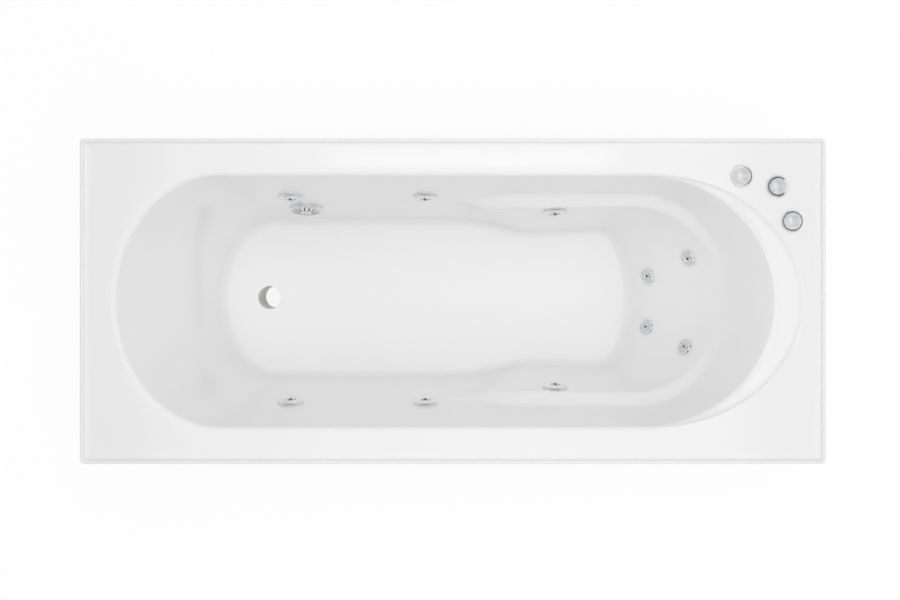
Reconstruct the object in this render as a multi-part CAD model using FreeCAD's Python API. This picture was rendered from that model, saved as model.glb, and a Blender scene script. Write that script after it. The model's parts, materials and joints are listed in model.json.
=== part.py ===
import FreeCAD, Part
import math
import os

Vector = FreeCAD.Vector

# A built-in jetted bath on its own cradle.  Sizes are in millimetres.
# X runs along the bath: the waste is at -X, the backrest and the pump at +X.
# Z is up.  The origin is on the floor, under the middle of the rim.

# ---------------------------------------------------------------- the bath
bath_length = 1650.0
bath_width = 720.0
bath_depth = 400.0
foot_end = -bath_length / 2
head_end = bath_length / 2
long_side = bath_width / 2
shell_wall = 5.0
clearance = 0.3
thread_clearance = 0.15
turning_clearance = 0.1

rim_corner_radius = 10.0
bead_width = 8.0
bead_height = 7.0
skirt_depth = 40.0
deck_side = 80.0
deck_foot_end = 75.0
deck_head_end = 96.0
rim_roll = 8.0

foot_round_rim = 234.0
foot_round_floor = 150.0
head_round_rim = 296.0
head_round_floor = 80.0
floor_half_width = 202.0
floor_foot_inset = 150.0
floor_head_inset = 270.0
floor_edge_radius = 16.0
back_swell = 0.28
back_swell_start = 0.24

# dished band round the head end: share of its width, step out, depth
band_centre_x = head_end - 375.0
band_length = 320.0
band_profile = [
    (1.00, 5.0, 0.0),
    (1.00, 1.0, 2.5),
    (0.85, 0.0, 6.0),
    (0.15, 3.5, 12.0),
    (0.00, 0.5, 17.0),
    (0.00, 0.0, 24.0),
]
band_side_gap = 1.0

# armrests, and the waist of the floor under them; X is measured from arm_origin_x
arm_origin_x = head_end - 825.0
arm_reach = 25.0
arm_bump = 8.0
arm_bump_x = 215.0
arm_bump_spread = 80.0
arm_height_low = 212.0
arm_height_high = 260.0
arm_rise_length = 170.0
arm_ledge_drop = 34.0
arm_start_rim = -28.0
arm_start_floor = 19.0
arm_full_rim = 25.0
arm_full_floor = 200.0

arm_depth_low = bath_depth - arm_height_low
arm_depth_high = bath_depth - arm_height_high
plain_rows = [arm_depth_high / 2, arm_depth_high - 1.0]
arm_rows = [arm_depth_high + step for step in (10.0, 20.0, 32.0, 48.0, 66.0, 84.0, 150.0)]
rim_roll_steps = 3
floor_edge_steps = 3
arm_steps = 12

# ---------------------------------------------------------------- fittings
side_jet_x = [foot_end + 439.0, foot_end + 760.0, head_end - 578.0]
side_jet_heights = [231.0, 231.0, 205.0]
back_jet_places = [(65.5, 63.0), (109.5, 174.0)]
back_jet_shift = -9.0
suction_x = foot_end + 461.0
suction_height = 128.0
waste_x = foot_end + 347.0
air_control_places = [(head_end - 185.0, long_side - 83.0), (head_end - 73.0, long_side - 183.0)]
button_place = (head_end - 106.0, long_side - 106.0)

pad_proud = 0.8
pad_back = 2.0
pad_margin = 1.5
seat_clearing = 8.0

jet_hole = 20.0
jet_face_radius = 29.0
jet_flange_radius = 26.5
jet_flange = 2.5
jet_gasket = 1.5
jet_barrel_clear = 0.5
jet_barrel_wall = 2.0
jet_nut_radius = 28.0
jet_nut_height = 9.0
jet_chamber_radius = 24.0
jet_chamber_end = 76.0
jet_chamber_wall = 3.0
jet_face_height = 8.0
jet_ball_radius = 14.0
jet_ball_centre = -3.0
jet_snout_radius = 7.5
jet_snout_reach = 9.5
jet_mouth_radius = 12.5
jet_snout_bore = 5.5

water_pipe_radius = 12.5
water_pipe_wall = 2.0
water_port_wall = 3.5
water_port_reach = 42.0
water_port_offset = 58.0
socket_depth = 16.0
air_pipe_radius = 5.0
air_pipe_bore = 3.5
air_port_wall = 2.0
air_port_offset = 33.0
air_port_reach = 36.0
air_socket_depth = 10.0

back_hole = 13.0
back_face_radius = 19.5
back_flange_radius = 17.0
back_flange = 2.0
back_gasket = 1.2
back_barrel_clear = 0.4
back_nut_radius = 18.5
back_nut_height = 7.0
back_chamber_radius = 15.0
back_chamber_end = 42.0
back_port_offset = 29.0
back_hose_radius = 8.0
back_hose_wall = 1.5
back_port_reach = 30.0
back_face_height = 6.5

suction_hole = 30.0
suction_cover_radius = 41.0
suction_flange_radius = 38.0
suction_flange = 3.0
suction_gasket = 2.0
suction_nut_radius = 40.0
suction_nut_height = 10.0
suction_chamber_radius = 32.0
suction_chamber_end = 80.0
suction_port_offset = 48.0
suction_port_reach = 64.0
suction_pipe_radius = 25.0
suction_pipe_wall = 2.5
suction_cover_height = 14.0
suction_cover_wall = 2.5
suction_slots = 16

waste_hole = 30.0
waste_spigot_wall = 3.5
waste_flange_radius = 46.0
waste_flange = 4.0
waste_spigot_end = 26.0

control_flange_radius = 24.0
control_flange = 3.0
control_gasket = 1.0
control_barrel_radius = 15.5
control_hole_clear = 0.5
control_nut_radius = 22.0
control_nut_height = 8.0
control_depth = 44.0
knob_radius = 19.0
knob_dome_radius = 15.0
knob_height = 17.0
knob_stem_radius = 8.0
knob_stem_depth = 22.0
button_cap_radius = 18.0
button_cap_clear = 0.4
button_travel = 4.0
button_dome = 5.0
button_barrel_radius = 20.5
button_tube_radius = 3.0
bellows_radius = 9.0

# ---------------------------------------------------------------- support
board_thickness = 15.0
board_margin = 14.0
tube_size = 25.0
tube_wall = 2.0
rail_y = 165.0
rail_foot_x = foot_end + 185.0
rail_head_x = head_end - 25.0
cross_x = [rail_foot_x + 80.0, rail_foot_x + 340.0, rail_head_x - 800.0, rail_head_x - 500.0]
pump_plate_thickness = 4.0
foot_x = [rail_foot_x + 50.0, rail_head_x - 30.0]
foot_bracket = 50.0
foot_bracket_thickness = 6.0
gusset_thickness = 4.0
foot_pad_radius = 26.0
foot_pad_height = 10.0
foot_stud_radius = 6.0
foot_stud_clear = 0.4
foot_nut_size = 18.0
foot_nut_height = 9.0
foot_travel = 20.0
screw_radius = 2.5
screw_head_radius = 5.0
screw_head_height = 3.0
batten_width = 45.0
batten_height = 18.0
batten_end_gap = 150.0
batten_head_gap = 330.0
board_corner = 70.0
screw_y = 110.0

# ---------------------------------------------------------------- pump
header_x = head_end - 168.0
header_bend = 55.0
header_straight = 190.0
header_stub = 30.0
header_stub_seat = 20.0
water_bend = 120.0
air_bend = 60.0
air_lead = 90.0
air_return_drop = 135.0
suction_bend = 52.0
suction_bend_x = head_end - 345.0
suction_outset = 11.0
discharge_shift = 45.0
pump_y = long_side - 210.0
volute_radius = 72.0
volute_width = 50.0
volute_wall = 4.0
pump_foot_height = 82.0
pump_rubber = 10.0
pump_foot_half = 52.0
pump_plate_width = 150.0
tube_side_x = head_end - 50.0
tube_drop = 105.0
tube_bend = 25.0
pump_rubber_radius = 11.0
inlet_length = 46.0
discharge_wall = 3.5
discharge_height = 96.0
seal_plate = 10.0
lug_radius = 7.0
motor_radius = 56.0
motor_length = 150.0
motor_wall = 5.0
motor_fins = 20
motor_fin_height = 7.0
motor_fin_width = 2.5
stator_bore = 33.0
rotor_core_radius = 32.4
fan_cover_length = 42.0
fan_cover_wall = 2.0
fan_radius = 46.0
fan_blades = 7
shaft_radius = 8.0
bearing_radius = 17.5
bearing_width = 11.0
impeller_radius = 52.0
impeller_vanes = 6
terminal_box = (84.0, 70.0, 34.0)

floor_to_shell = foot_pad_height + 55.0 + 2 * tube_size + board_thickness
floor_to_deck = floor_to_shell + shell_wall + bath_depth
pump_x = header_x + discharge_shift
frame_top = floor_to_shell - board_thickness
pump_z = frame_top - tube_size + pump_plate_thickness + pump_rubber + pump_foot_height
made = []
gaskets = []
locknuts = []


# ================================================================ helpers
def smooth(value):
    value = min(max(value, 0.0), 1.0)
    return value * value * (3.0 - 2.0 * value)


def blend(start, end, share):
    return start + (end - start) * share


def disc(radius, low, high):
    return Part.makeCylinder(radius, high - low, Vector(0, 0, low))


def ring(outer, inner, low, high):
    return disc(outer, low, high).cut(disc(inner, low - 1, high + 1))


def turned(profile):
    """Revolve a closed outline of (radius, height) points about Z."""
    points = [Vector(radius, 0, height) for radius, height in profile]
    face = Part.Face(Part.makePolygon(points + points[:1]))
    return face.revolve(Vector(0, 0, 0), Vector(0, 0, 1), 360)


def turned_with_arc(before, middle, after):
    """Like turned, with a true arc from the end of one run of points to the start of the next."""
    first, second = [[Vector(radius, 0, height) for radius, height in run] for run in (before, after)]
    edges = [Part.makeLine(a, b) for a, b in zip(first, first[1:])]
    edges.append(Part.Arc(first[-1], Vector(middle[0], 0, middle[1]), second[0]).toShape())
    edges += [Part.makeLine(a, b) for a, b in zip(second, second[1:])]
    edges.append(Part.makeLine(second[-1], first[0]))
    return Part.Face(Part.Wire(edges)).revolve(Vector(0, 0, 0), Vector(0, 0, 1), 360)


def hexagon(size, low, high):
    corner = size / math.sqrt(3)
    turns = [k * math.pi / 3 for k in range(6)]
    points = [Vector(corner * math.cos(turn), corner * math.sin(turn), low) for turn in turns]
    return Part.Face(Part.makePolygon(points + points[:1])).extrude(Vector(0, 0, high - low))


def rod(start, end, radius):
    return Part.makeCylinder(radius, (end - start).Length, start, end - start)


def box(low, high):
    return Part.makeBox(high[0] - low[0], high[1] - low[1], high[2] - low[2], Vector(*low))


def upright_edges(shape):
    return [edge for edge in shape.Edges if edge.BoundBox.ZLength > 0.9 * shape.BoundBox.ZLength]


def rounded_plate(length, width, corner, low, high):
    plate = box((-length / 2, -width / 2, low), (length / 2, width / 2, high))
    return plate.makeFillet(corner, upright_edges(plate))


def placement(origin, out, across):
    """Local Z along out, local X along across."""
    rotation = FreeCAD.Rotation(across, out.cross(across), out, "ZXY")
    return FreeCAD.Placement(origin, rotation)


def put(shape, frame):
    moved = shape.copy()
    moved.Placement = frame.multiply(shape.Placement)
    return moved


def fuse(shapes):
    result = shapes[0]
    for shape in shapes[1:]:
        result = result.fuse(shape)
    return result


def cut(shape, tools):
    for tool in tools:
        shape = shape.cut(tool)
    return shape


def pipe(points, radius, bore, bend):
    """A hollow pipe: straight runs joined by tangent round bends of one radius."""
    pieces = []
    last = points[0]
    for index in range(1, len(points) - 1):
        corner = points[index]
        back = (points[index - 1] - corner).normalize()
        onward = (points[index + 1] - corner).normalize()
        turn = math.pi - back.getAngle(onward)
        trim = bend * math.tan(turn / 2)
        start = corner + back * trim
        end = corner + onward * trim
        pieces.append(tube_run(last, start, radius, bore))
        pieces.append(tube_bend_piece(start, back.negative(), onward, turn, radius, bore, bend))
        last = end
    pieces.append(tube_run(last, points[-1], radius, bore))
    return fuse(pieces)


def annulus(centre, heading, radius, bore):
    outer = Part.Wire([Part.Circle(centre, heading, radius).toShape()])
    inner = Part.Wire([Part.Circle(centre, heading, bore).toShape()])
    return Part.Face(outer).cut(Part.Face(inner)).Faces[0]


def tube_run(start, end, radius, bore):
    return annulus(start, (end - start).normalize(), radius, bore).extrude(end - start)


def tube_bend_piece(start, heading, onward, turn, radius, bore, bend):
    axis = heading.cross(onward).normalize()
    centre = start + axis.cross(heading) * bend
    return annulus(start, heading, radius, bore).revolve(centre, axis, math.degrees(turn))


def save(name, shapes):
    """Write one node; a list of shapes becomes a group of separate solids."""
    if not isinstance(shapes, list):
        shapes = [shapes]
    solids = [solid for shape in shapes for solid in shape.removeSplitter().Solids]
    result = solids[0] if len(solids) == 1 else Part.makeCompound(solids)
    result.exportStep("parts/" + name + ".step")
    made.append((name, result))


# ================================================================ bowl surface
def arm_offset(x, depth):
    """How far the armrest, and the waist below it, stand in from the plain side wall."""
    share = depth / bath_depth
    from_origin = x - arm_origin_x
    start = blend(arm_start_rim, arm_start_floor, share)
    full = blend(arm_full_rim, arm_full_floor, share)
    along = smooth((from_origin - start) / (full - start))
    ledge = blend(arm_depth_low, arm_depth_high, smooth(from_origin / arm_rise_length))
    down = smooth((depth - ledge) / arm_ledge_drop)
    bump = arm_bump * share * math.exp(-((from_origin - arm_bump_x) / arm_bump_spread) ** 2)
    return (arm_reach + bump) * along * down


def head_reach(depth):
    """X of the backrest on the centre line: steep near the rim and laid back lower down."""
    share = depth / bath_depth
    wave = math.sin(2 * math.pi * (share - back_swell_start)) + math.sin(2 * math.pi * back_swell_start)
    eased = share - back_swell / (2 * math.pi) * wave
    rim = bath_length / 2 - deck_head_end
    return rim - floor_head_inset * eased


def foot_reach(depth):
    return -bath_length / 2 + deck_foot_end + floor_foot_inset * depth / bath_depth


def half_width(depth):
    return blend(bath_width / 2 - deck_side, floor_half_width, depth / bath_depth)


def side_span(depth):
    """Where the straight sides start and end."""
    share = depth / bath_depth
    start = foot_reach(depth) + blend(foot_round_rim, foot_round_floor, share)
    end = head_reach(depth) - blend(head_round_rim, head_round_floor, share)
    return start, end


def side_at_x(x, depth):
    return Vector(x, half_width(depth) - arm_offset(x, depth), floor_to_deck - depth)


def back_at_y(y, depth):
    start, end = side_span(depth)
    width = half_width(depth) - arm_offset(end, depth)
    reach = (head_reach(depth) - end) * math.sqrt(1 - (y / width) ** 2)
    return Vector(end + reach, y, floor_to_deck - depth)


def mirrored_y(point):
    return Vector(point.x, -point.y, point.z)


def slant(curve, depth):
    """Level distance through a wall for each millimetre of its thickness."""
    return math.sqrt(1 + ((curve(depth + 1) - curve(depth - 1)) / 2) ** 2)


def end_arc(centre_x, reach, width, z, side):
    """Half an ellipse round one end of the bowl, from the +Y side to the -Y side, or back."""
    if abs(reach - width) < 0.001:
        reach += 0.001
    ellipse = Part.Ellipse(Vector(centre_x, 0, z), max(reach, width), min(reach, width))
    turn = 0 if reach > width else math.pi / 2
    middle = (0 if side > 0 else math.pi) - turn
    arc = Part.ArcOfEllipse(ellipse, middle - math.pi / 2, middle + math.pi / 2).toShape()
    arc.rotate(Vector(centre_x, 0, z), Vector(0, 0, 1), math.degrees(turn))
    return arc


def bowl_row(depth, inset=0.0, thickness=0.0, shape_depth=None):
    """One level outline of the bowl: two half ellipses joined by the side walls."""
    shape_depth = depth if shape_depth is None else shape_depth
    z = floor_to_deck - depth
    start, end = side_span(shape_depth)
    foot_out = thickness * slant(foot_reach, shape_depth) - inset
    head_out = thickness * slant(head_reach, shape_depth) - inset
    side_points = []
    for k in range(arm_steps + 1):
        x = blend(start, end, k / arm_steps)
        out = thickness * slant(lambda level: side_at_x(x, level).y, shape_depth) - inset
        side_points.append(Vector(x, side_at_x(x, shape_depth).y + out, z))
    edges = [side_curve(side_points)]
    edges.append(end_arc(end, head_reach(shape_depth) - end + head_out, side_points[-1].y, z, 1))
    edges.append(side_curve([mirrored_y(point) for point in reversed(side_points)]))
    edges.append(end_arc(start, start - foot_reach(shape_depth) + foot_out, side_points[0].y, z, -1))
    return Part.Wire(Part.__sortEdges__(edges))


def side_curve(points):
    if max(abs(point.y - points[0].y) for point in points) < 0.01:
        return Part.LineSegment(points[0], points[-1]).toShape()
    curve = Part.BSplineCurve()
    curve.interpolate(Points=points)
    return curve.toShape()


def bowl_form(thickness):
    """The bowl as a solid: thickness 0 gives the hollow, the wall's thickness its outside."""
    rows = []
    roll = rim_roll - thickness
    for step in range(rim_roll_steps + 1):
        angle = step / rim_roll_steps * math.pi / 2
        depth = rim_roll - roll * math.cos(angle)
        rows.append(bowl_row(depth, -rim_roll + roll * math.sin(angle)))
    for depth in plain_rows + (arm_rows if thickness == 0 else arm_rows[::2]):
        rows.append(bowl_row(depth, 0.0, thickness))
    for step in range(floor_edge_steps + 1):
        angle = step / floor_edge_steps * math.pi / 2
        inner_depth = bath_depth - floor_edge_radius * (1 - math.sin(angle))
        inset = floor_edge_radius * (1 - math.cos(angle))
        depth = inner_depth + thickness * math.sin(angle)
        rows.append(bowl_row(depth, inset, thickness * math.cos(angle), inner_depth))
    return Part.makeLoft(rows, True, True)


def band_form(thickness):
    """The shallow dish that steps down round the head end and rolls over into the backrest."""
    rows = []
    for share, out, depth in band_profile:
        start, end = side_span(depth)
        centre = blend(end, band_centre_x, share)
        reach = blend(head_reach(depth) - end, band_length, share) + out + thickness
        width = half_width(depth) + thickness - band_side_gap
        z = floor_to_deck - depth - (thickness if share > 0 else 0)
        outline = Part.Ellipse(Vector(centre, 0, z), max(reach, width), min(reach, width)).toShape()
        if reach < width:
            outline.rotate(Vector(centre, 0, z), Vector(0, 0, 1), 90)
        rows.append(Part.Wire([outline]))
    return Part.makeLoft(rows, True, True)


def surface_frame(point, nudge_along, nudge_down):
    """Frame on the bowl: local Z out of the wall into the bath, local X level along the wall."""
    along = (nudge_along - point).normalize()
    inward = along.cross(nudge_down - point).normalize()
    if inward.z < 0:
        inward = inward.negative()
    return placement(point, inward, along)


def side_frame(x, depth, side):
    point = side_at_x(x, depth)
    frame = surface_frame(point, side_at_x(x + 1, depth), side_at_x(x, depth + 1))
    if side > 0:
        return frame
    inward = frame.Rotation.multVec(Vector(0, 0, 1))
    along = frame.Rotation.multVec(Vector(1, 0, 0))
    return placement(mirrored_y(point), mirrored_y(inward), mirrored_y(along))


def back_frame(y, depth):
    point = back_at_y(y, depth)
    return surface_frame(point, back_at_y(y + 1, depth), back_at_y(y, depth + 1))


def upright_frame(x, y, z):
    return placement(Vector(x, y, z), Vector(0, 0, 1), Vector(1, 0, 0))


side_jets = []
for side in (1, -1):
    for x, height in zip(side_jet_x, side_jet_heights):
        side_jets.append(side_frame(x, bath_depth - height, side))
back_jets = []
for y, height in back_jet_places:
    for side in (1, -1):
        back_jets.append(back_frame(side * y + back_jet_shift, bath_depth - height))
suction = side_frame(suction_x, bath_depth - suction_height, 1)
air_controls = [upright_frame(x, y, floor_to_deck) for x, y in air_control_places]
button = upright_frame(*button_place, floor_to_deck)
waste = upright_frame(waste_x, 0, floor_to_shell)
back_of_wall = -(shell_wall + pad_back)
along_x = Vector(1, 0, 0)
header_z = side_jets[2].multVec(Vector(0, 0, -water_port_offset)).z
tube_end_y = pump_y - 110.0
tube_end_z = pump_z + motor_radius + motor_fin_height + terminal_box[2] / 2


# ================================================================ the shell
def make_shell():
    top = floor_to_deck + bead_height
    skirt_foot = floor_to_deck - skirt_depth
    block = rounded_plate(bath_length, bath_width, rim_corner_radius, skirt_foot, top)
    crown = [edge for edge in block.Edges if edge.BoundBox.ZMin > top - 0.01]
    block = block.makeFillet(bead_width * 0.4, crown)
    pocket_corner = rim_corner_radius - shell_wall / 2
    deck_pocket = rounded_plate(bath_length - 2 * bead_width, bath_width - 2 * bead_width, pocket_corner,
                                floor_to_deck, top + 1)
    under_deck = rounded_plate(bath_length - 2 * shell_wall, bath_width - 2 * shell_wall, pocket_corner,
                               skirt_foot - 1, floor_to_deck - shell_wall)
    shell = block.cut(deck_pocket).cut(under_deck)
    shell = shell.fuse(bowl_form(shell_wall)).fuse(band_form(shell_wall))
    shell = shell.cut(bowl_form(0.0).fuse(band_form(0.0)))
    seats = [(frame, jet_face_radius, jet_hole) for frame in side_jets]
    seats += [(frame, back_face_radius, back_hole) for frame in back_jets]
    seats.append((suction, suction_cover_radius, suction_hole))
    for frame, radius, hole in seats:
        shell = shell.fuse(put(disc(radius + pad_margin, back_of_wall, pad_proud), frame))
        shell = shell.cut(put(disc(radius + pad_margin, pad_proud, pad_proud + seat_clearing), frame))
        shell = shell.cut(put(disc(radius + pad_margin, back_of_wall - seat_clearing, back_of_wall), frame))
        shell = shell.cut(put(disc(hole, back_of_wall - 1, pad_proud + 1), frame))
    shell = shell.cut(put(disc(waste_hole, -1, shell_wall + 1), waste))
    for frame in air_controls + [button]:
        hole = control_barrel_radius + control_hole_clear
        if frame is button:
            hole = button_barrel_radius + control_hole_clear
        shell = shell.cut(put(disc(hole, -shell_wall - 1, 1), frame))
    save("bath_shell", shell)


# ================================================================ side jets
def port_centre(frame, offset):
    return frame.multVec(Vector(0, 0, -offset))


def port(frame, reach, radius, bore, offset, pipe_radius, seat):
    """A through port along X behind a fitting, with a socket for a pipe at each end."""
    centre = port_centre(frame, offset)
    start = centre - along_x * reach
    end = centre + along_x * reach
    step = along_x * seat
    outside = rod(start, end, radius)
    bores = [rod(start - step, end + step, bore)]
    bores.append(rod(start - step, start + step, pipe_radius + turning_clearance))
    bores.append(rod(end - step, end + step, pipe_radius + turning_clearance))
    return outside, bores


jet_flange_top = pad_proud + jet_gasket + jet_flange
jet_barrel_radius = jet_hole - jet_barrel_clear
jet_barrel_bore = jet_barrel_radius - jet_barrel_wall
jet_nut_foot = back_of_wall - jet_nut_height


def make_side_jets():
    bodies = []
    water_bore = water_pipe_radius - water_pipe_wall
    for frame in side_jets:
        water, water_bores = port(frame, water_port_reach, water_pipe_radius + water_port_wall,
                                  water_bore, water_port_offset, water_pipe_radius, socket_depth)
        air, air_bores = port(frame, air_port_reach, air_pipe_radius + air_port_wall,
                              air_pipe_bore, air_port_offset, air_pipe_radius, air_socket_depth)
        outline = [(0, jet_flange_top), (jet_flange_radius, jet_flange_top),
                   (jet_flange_radius, jet_flange_top - jet_flange),
                   (jet_barrel_radius, jet_flange_top - jet_flange), (jet_barrel_radius, jet_nut_foot - 3),
                   (jet_chamber_radius, jet_nut_foot - 6), (jet_chamber_radius, -jet_chamber_end + 8),
                   (jet_chamber_radius - 8, -jet_chamber_end), (0, -jet_chamber_end)]
        body = fuse([put(turned(outline), frame), water, air])
        inner = jet_chamber_radius - jet_chamber_wall
        end_wall = -jet_chamber_end + jet_chamber_wall
        hollow = [(0, jet_flange_top + 1), (jet_barrel_bore, jet_flange_top + 1),
                  (jet_barrel_bore, jet_nut_foot - 5), (inner, jet_nut_foot - 8), (inner, end_wall + 6),
                  (inner - 7, end_wall), (0, end_wall)]
        bodies.append(cut(body, [put(turned(hollow), frame)] + water_bores + air_bores))
        gaskets.append(put(ring(jet_flange_radius, jet_hole, pad_proud, pad_proud + jet_gasket), frame))
        nut = ring(jet_nut_radius, jet_barrel_radius + thread_clearance, jet_nut_foot, back_of_wall)
        grip = disc(2.5, jet_nut_foot - 1, back_of_wall - 3)
        grips = [put(grip, turn_about_z(k * 45, jet_nut_radius + 1)) for k in range(8)]
        locknuts.append(put(cut(nut, grips), frame))
    save("side_jet_bodies", bodies)

    ball_low, ball_zone, ball_high = -0.8, 0.3, 0.7
    ball_foot = jet_ball_radius * math.sin(ball_low)
    snout_top = jet_snout_reach - jet_ball_centre
    throat = [(jet_snout_radius + 1.5, ball_at(ball_high)[1] + 1), (jet_snout_radius, snout_top),
              (jet_snout_bore, snout_top), (jet_snout_bore, 0), (jet_ball_radius * 0.6, ball_foot)]
    upper = [ball_at(ball_zone), ball_at(0.5), ball_at(ball_high)] + throat
    lower = [ball_at(ball_low), ball_at(-0.5), ball_at(-ball_zone)]
    nozzle = turned_with_arc(lower, ball_at(0), upper).translated(Vector(0, 0, jet_ball_centre))

    hub_radius = jet_barrel_bore - turning_clearance
    skirt_bore = jet_flange_radius + 0.4
    low = pad_proud + clearance
    plate = jet_flange_top + clearance
    socket = jet_ball_radius + turning_clearance
    seat_start, seat_end = 0.2, 0.6
    seat_radius = socket / math.cos(seat_start)
    seat = [(seat_radius * math.cos(angle), jet_ball_centre + seat_radius * math.sin(angle))
            for angle in (seat_end, seat_start)]
    hub_foot = jet_ball_centre + ball_foot - 1
    face = turned([(skirt_bore, plate), (skirt_bore, low), (jet_face_radius, low),
                   (jet_face_radius, jet_face_height - 3.5), (jet_face_radius - 2, jet_face_height - 1.2),
                   (jet_face_radius - 5, jet_face_height), (jet_mouth_radius, jet_face_height)] + seat +
                  [(socket, hub_foot), (hub_radius, hub_foot), (hub_radius, plate)])
    for index, frame in enumerate(side_jets):
        save("side_jet_face_" + str(index + 1), put(face, frame))
        save("side_jet_nozzle_" + str(index + 1), put(nozzle, frame))


def ball_at(angle):
    """A point on the outline of the jet's ball, as (radius, height)."""
    return jet_ball_radius * math.cos(angle), jet_ball_radius * math.sin(angle)


# ================================================================ back jets
def hose_direction(frame):
    """Straight from the jet's chamber to the header, square to nothing else."""
    start = frame.multVec(Vector(0, 0, -back_port_offset))
    return start, Vector(header_x, start.y, header_z)


def make_back_jets():
    bodies = []
    hoses = []
    flange_top = pad_proud + back_gasket + back_flange
    barrel = back_hole - back_barrel_clear
    bore = barrel - 2.4
    nut_foot = back_of_wall - back_nut_height
    for frame in back_jets:
        flange_foot = flange_top - back_flange
        outline = [(0, flange_top), (back_flange_radius, flange_top), (back_flange_radius, flange_foot),
                   (barrel, flange_foot), (barrel, nut_foot - 2), (back_chamber_radius, nut_foot - 4),
                   (back_chamber_radius, -back_chamber_end + 3),
                   (back_chamber_radius - 3, -back_chamber_end), (0, -back_chamber_end)]
        body = put(turned(outline), frame)
        start, end = hose_direction(frame)
        along = (end - start).normalize()
        reach = start + along * back_port_reach
        seat = start + along * (back_port_reach - air_socket_depth)
        body = body.fuse(rod(start, reach, back_hose_radius + air_port_wall))
        body = body.cut(put(disc(bore, -back_chamber_end + 3, flange_top + 1), frame))
        body = body.cut(rod(start, reach + along, back_hose_radius - back_hose_wall))
        body = body.cut(rod(seat, reach + along, back_hose_radius + turning_clearance))
        bodies.append(body)
        gaskets.append(put(ring(back_flange_radius, back_hole, pad_proud, pad_proud + back_gasket), frame))
        nut = ring(back_nut_radius, barrel + thread_clearance, nut_foot, back_of_wall)
        locknuts.append(put(nut, frame))
        hose_start = seat + along * clearance
        hose_end = end - along * (header_stub_seat + clearance)
        hose = rod(hose_start, hose_end, back_hose_radius)
        hoses.append(hose.cut(rod(hose_start - along, hose_end + along, back_hose_radius - back_hose_wall)))
    save("back_jet_bodies", bodies)
    save("back_jet_hoses", hoses)

    low = pad_proud + clearance
    plate = flange_top + clearance
    rim = back_face_radius
    high = back_face_height
    skirt = back_flange_radius + 0.4
    face = turned([(0, plate), (skirt, plate), (skirt, low), (rim, low), (rim, high - 2), (rim - 1.6, high),
                   (rim - 5, high - 0.4), (rim - 5.6, high - 1.2), (rim - 7.6, high - 1.2),
                   (rim - 8.2, high), (rim - 11, high), (rim - 12, high - 1.2), (rim - 14, high - 1.2),
                   (rim - 14.6, high + 0.4), (0, high + 0.4)])
    hub = disc(bore - turning_clearance, -6, plate + 0.5)
    face = cut(face.fuse(hub), [disc(3, -7, back_face_height + 1), disc(bore - 2.5, -7, plate - 1)])
    for index, frame in enumerate(back_jets):
        save("back_jet_face_" + str(index + 1), put(face, frame))


# ================================================================ suction
def make_suction():
    flange_top = pad_proud + suction_gasket + suction_flange
    barrel = suction_hole - 0.5
    nut_foot = back_of_wall - suction_nut_height
    chamber = suction_chamber_radius
    flange_foot = flange_top - suction_flange
    outline = [(0, flange_top), (suction_flange_radius, flange_top), (suction_flange_radius, flange_foot),
               (barrel, flange_foot), (barrel, nut_foot - 3), (chamber, nut_foot - 5),
               (chamber, -suction_chamber_end + 10), (chamber - 10, -suction_chamber_end),
               (0, -suction_chamber_end)]
    outlet_start = Vector(0, 0, -suction_port_offset)
    outlet_end = Vector(suction_port_reach, 0, -suction_port_offset)
    seat = Vector(suction_port_reach - socket_depth, 0, -suction_port_offset)
    past_end = Vector(suction_port_reach + 1, 0, -suction_port_offset)
    body = turned(outline).fuse(rod(outlet_start, outlet_end, suction_pipe_radius + 4))
    bore = barrel - 3
    body = body.cut(disc(bore, -suction_chamber_end + 5, flange_top + 1))
    body = body.cut(rod(outlet_start, past_end, suction_pipe_radius - suction_pipe_wall))
    body = body.cut(rod(seat, past_end, suction_pipe_radius + turning_clearance))
    boss = disc(6, -14, flange_top)
    hub = Vector(0, 0, -8)
    turns = [k * math.pi / 1.5 for k in range(3)]
    spokes = [rod(hub, hub + Vector(bore * math.cos(turn), bore * math.sin(turn), 0), 3) for turn in turns]
    body = fuse([body, boss] + spokes)
    body = body.cut(disc(screw_radius + clearance, -15, flange_top + 1))
    save("suction_body", put(body, suction))
    gasket = ring(suction_flange_radius, suction_hole, pad_proud, pad_proud + suction_gasket)
    gaskets.append(put(gasket, suction))
    nut = ring(suction_nut_radius, barrel + thread_clearance, nut_foot, back_of_wall)
    locknuts.append(put(nut, suction))

    low = pad_proud + clearance
    top = suction_cover_height
    rim = suction_cover_radius
    thin = suction_cover_wall
    skirt = suction_flange_radius + clearance
    plate = flange_top + clearance
    cover = turned([(0, plate), (7, plate), (7, top - thin), (rim * 0.55, top - thin),
                    (skirt - 3, plate + 1.5), (skirt - 3, plate), (skirt, plate), (skirt, low),
                    (rim, low), (rim, plate + 1.5),
                    (rim * 0.88, plate + 5), (rim * 0.6, top), (0, top)])
    cover = cover.cut(disc(screw_radius + clearance, 0, top + 1))
    cover = cover.cut(disc(screw_head_radius + clearance, top - screw_head_height, top + 1))
    slots = []
    for k in range(suction_slots):
        slot = box((rim * 0.36, -1.6, plate + 1.8), (rim * 0.86, 1.6, top + 1))
        slot.rotate(Vector(0, 0, 0), Vector(0, 0, 1), k * 360 / suction_slots)
        slots.append(slot)
    save("suction_cover", put(cut(cover, slots), suction))
    screw = disc(screw_radius, -12, top - screw_head_height + 0.1).fuse(
        disc(screw_head_radius, top - screw_head_height, top))
    save("suction_screw", put(screw, suction))


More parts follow.
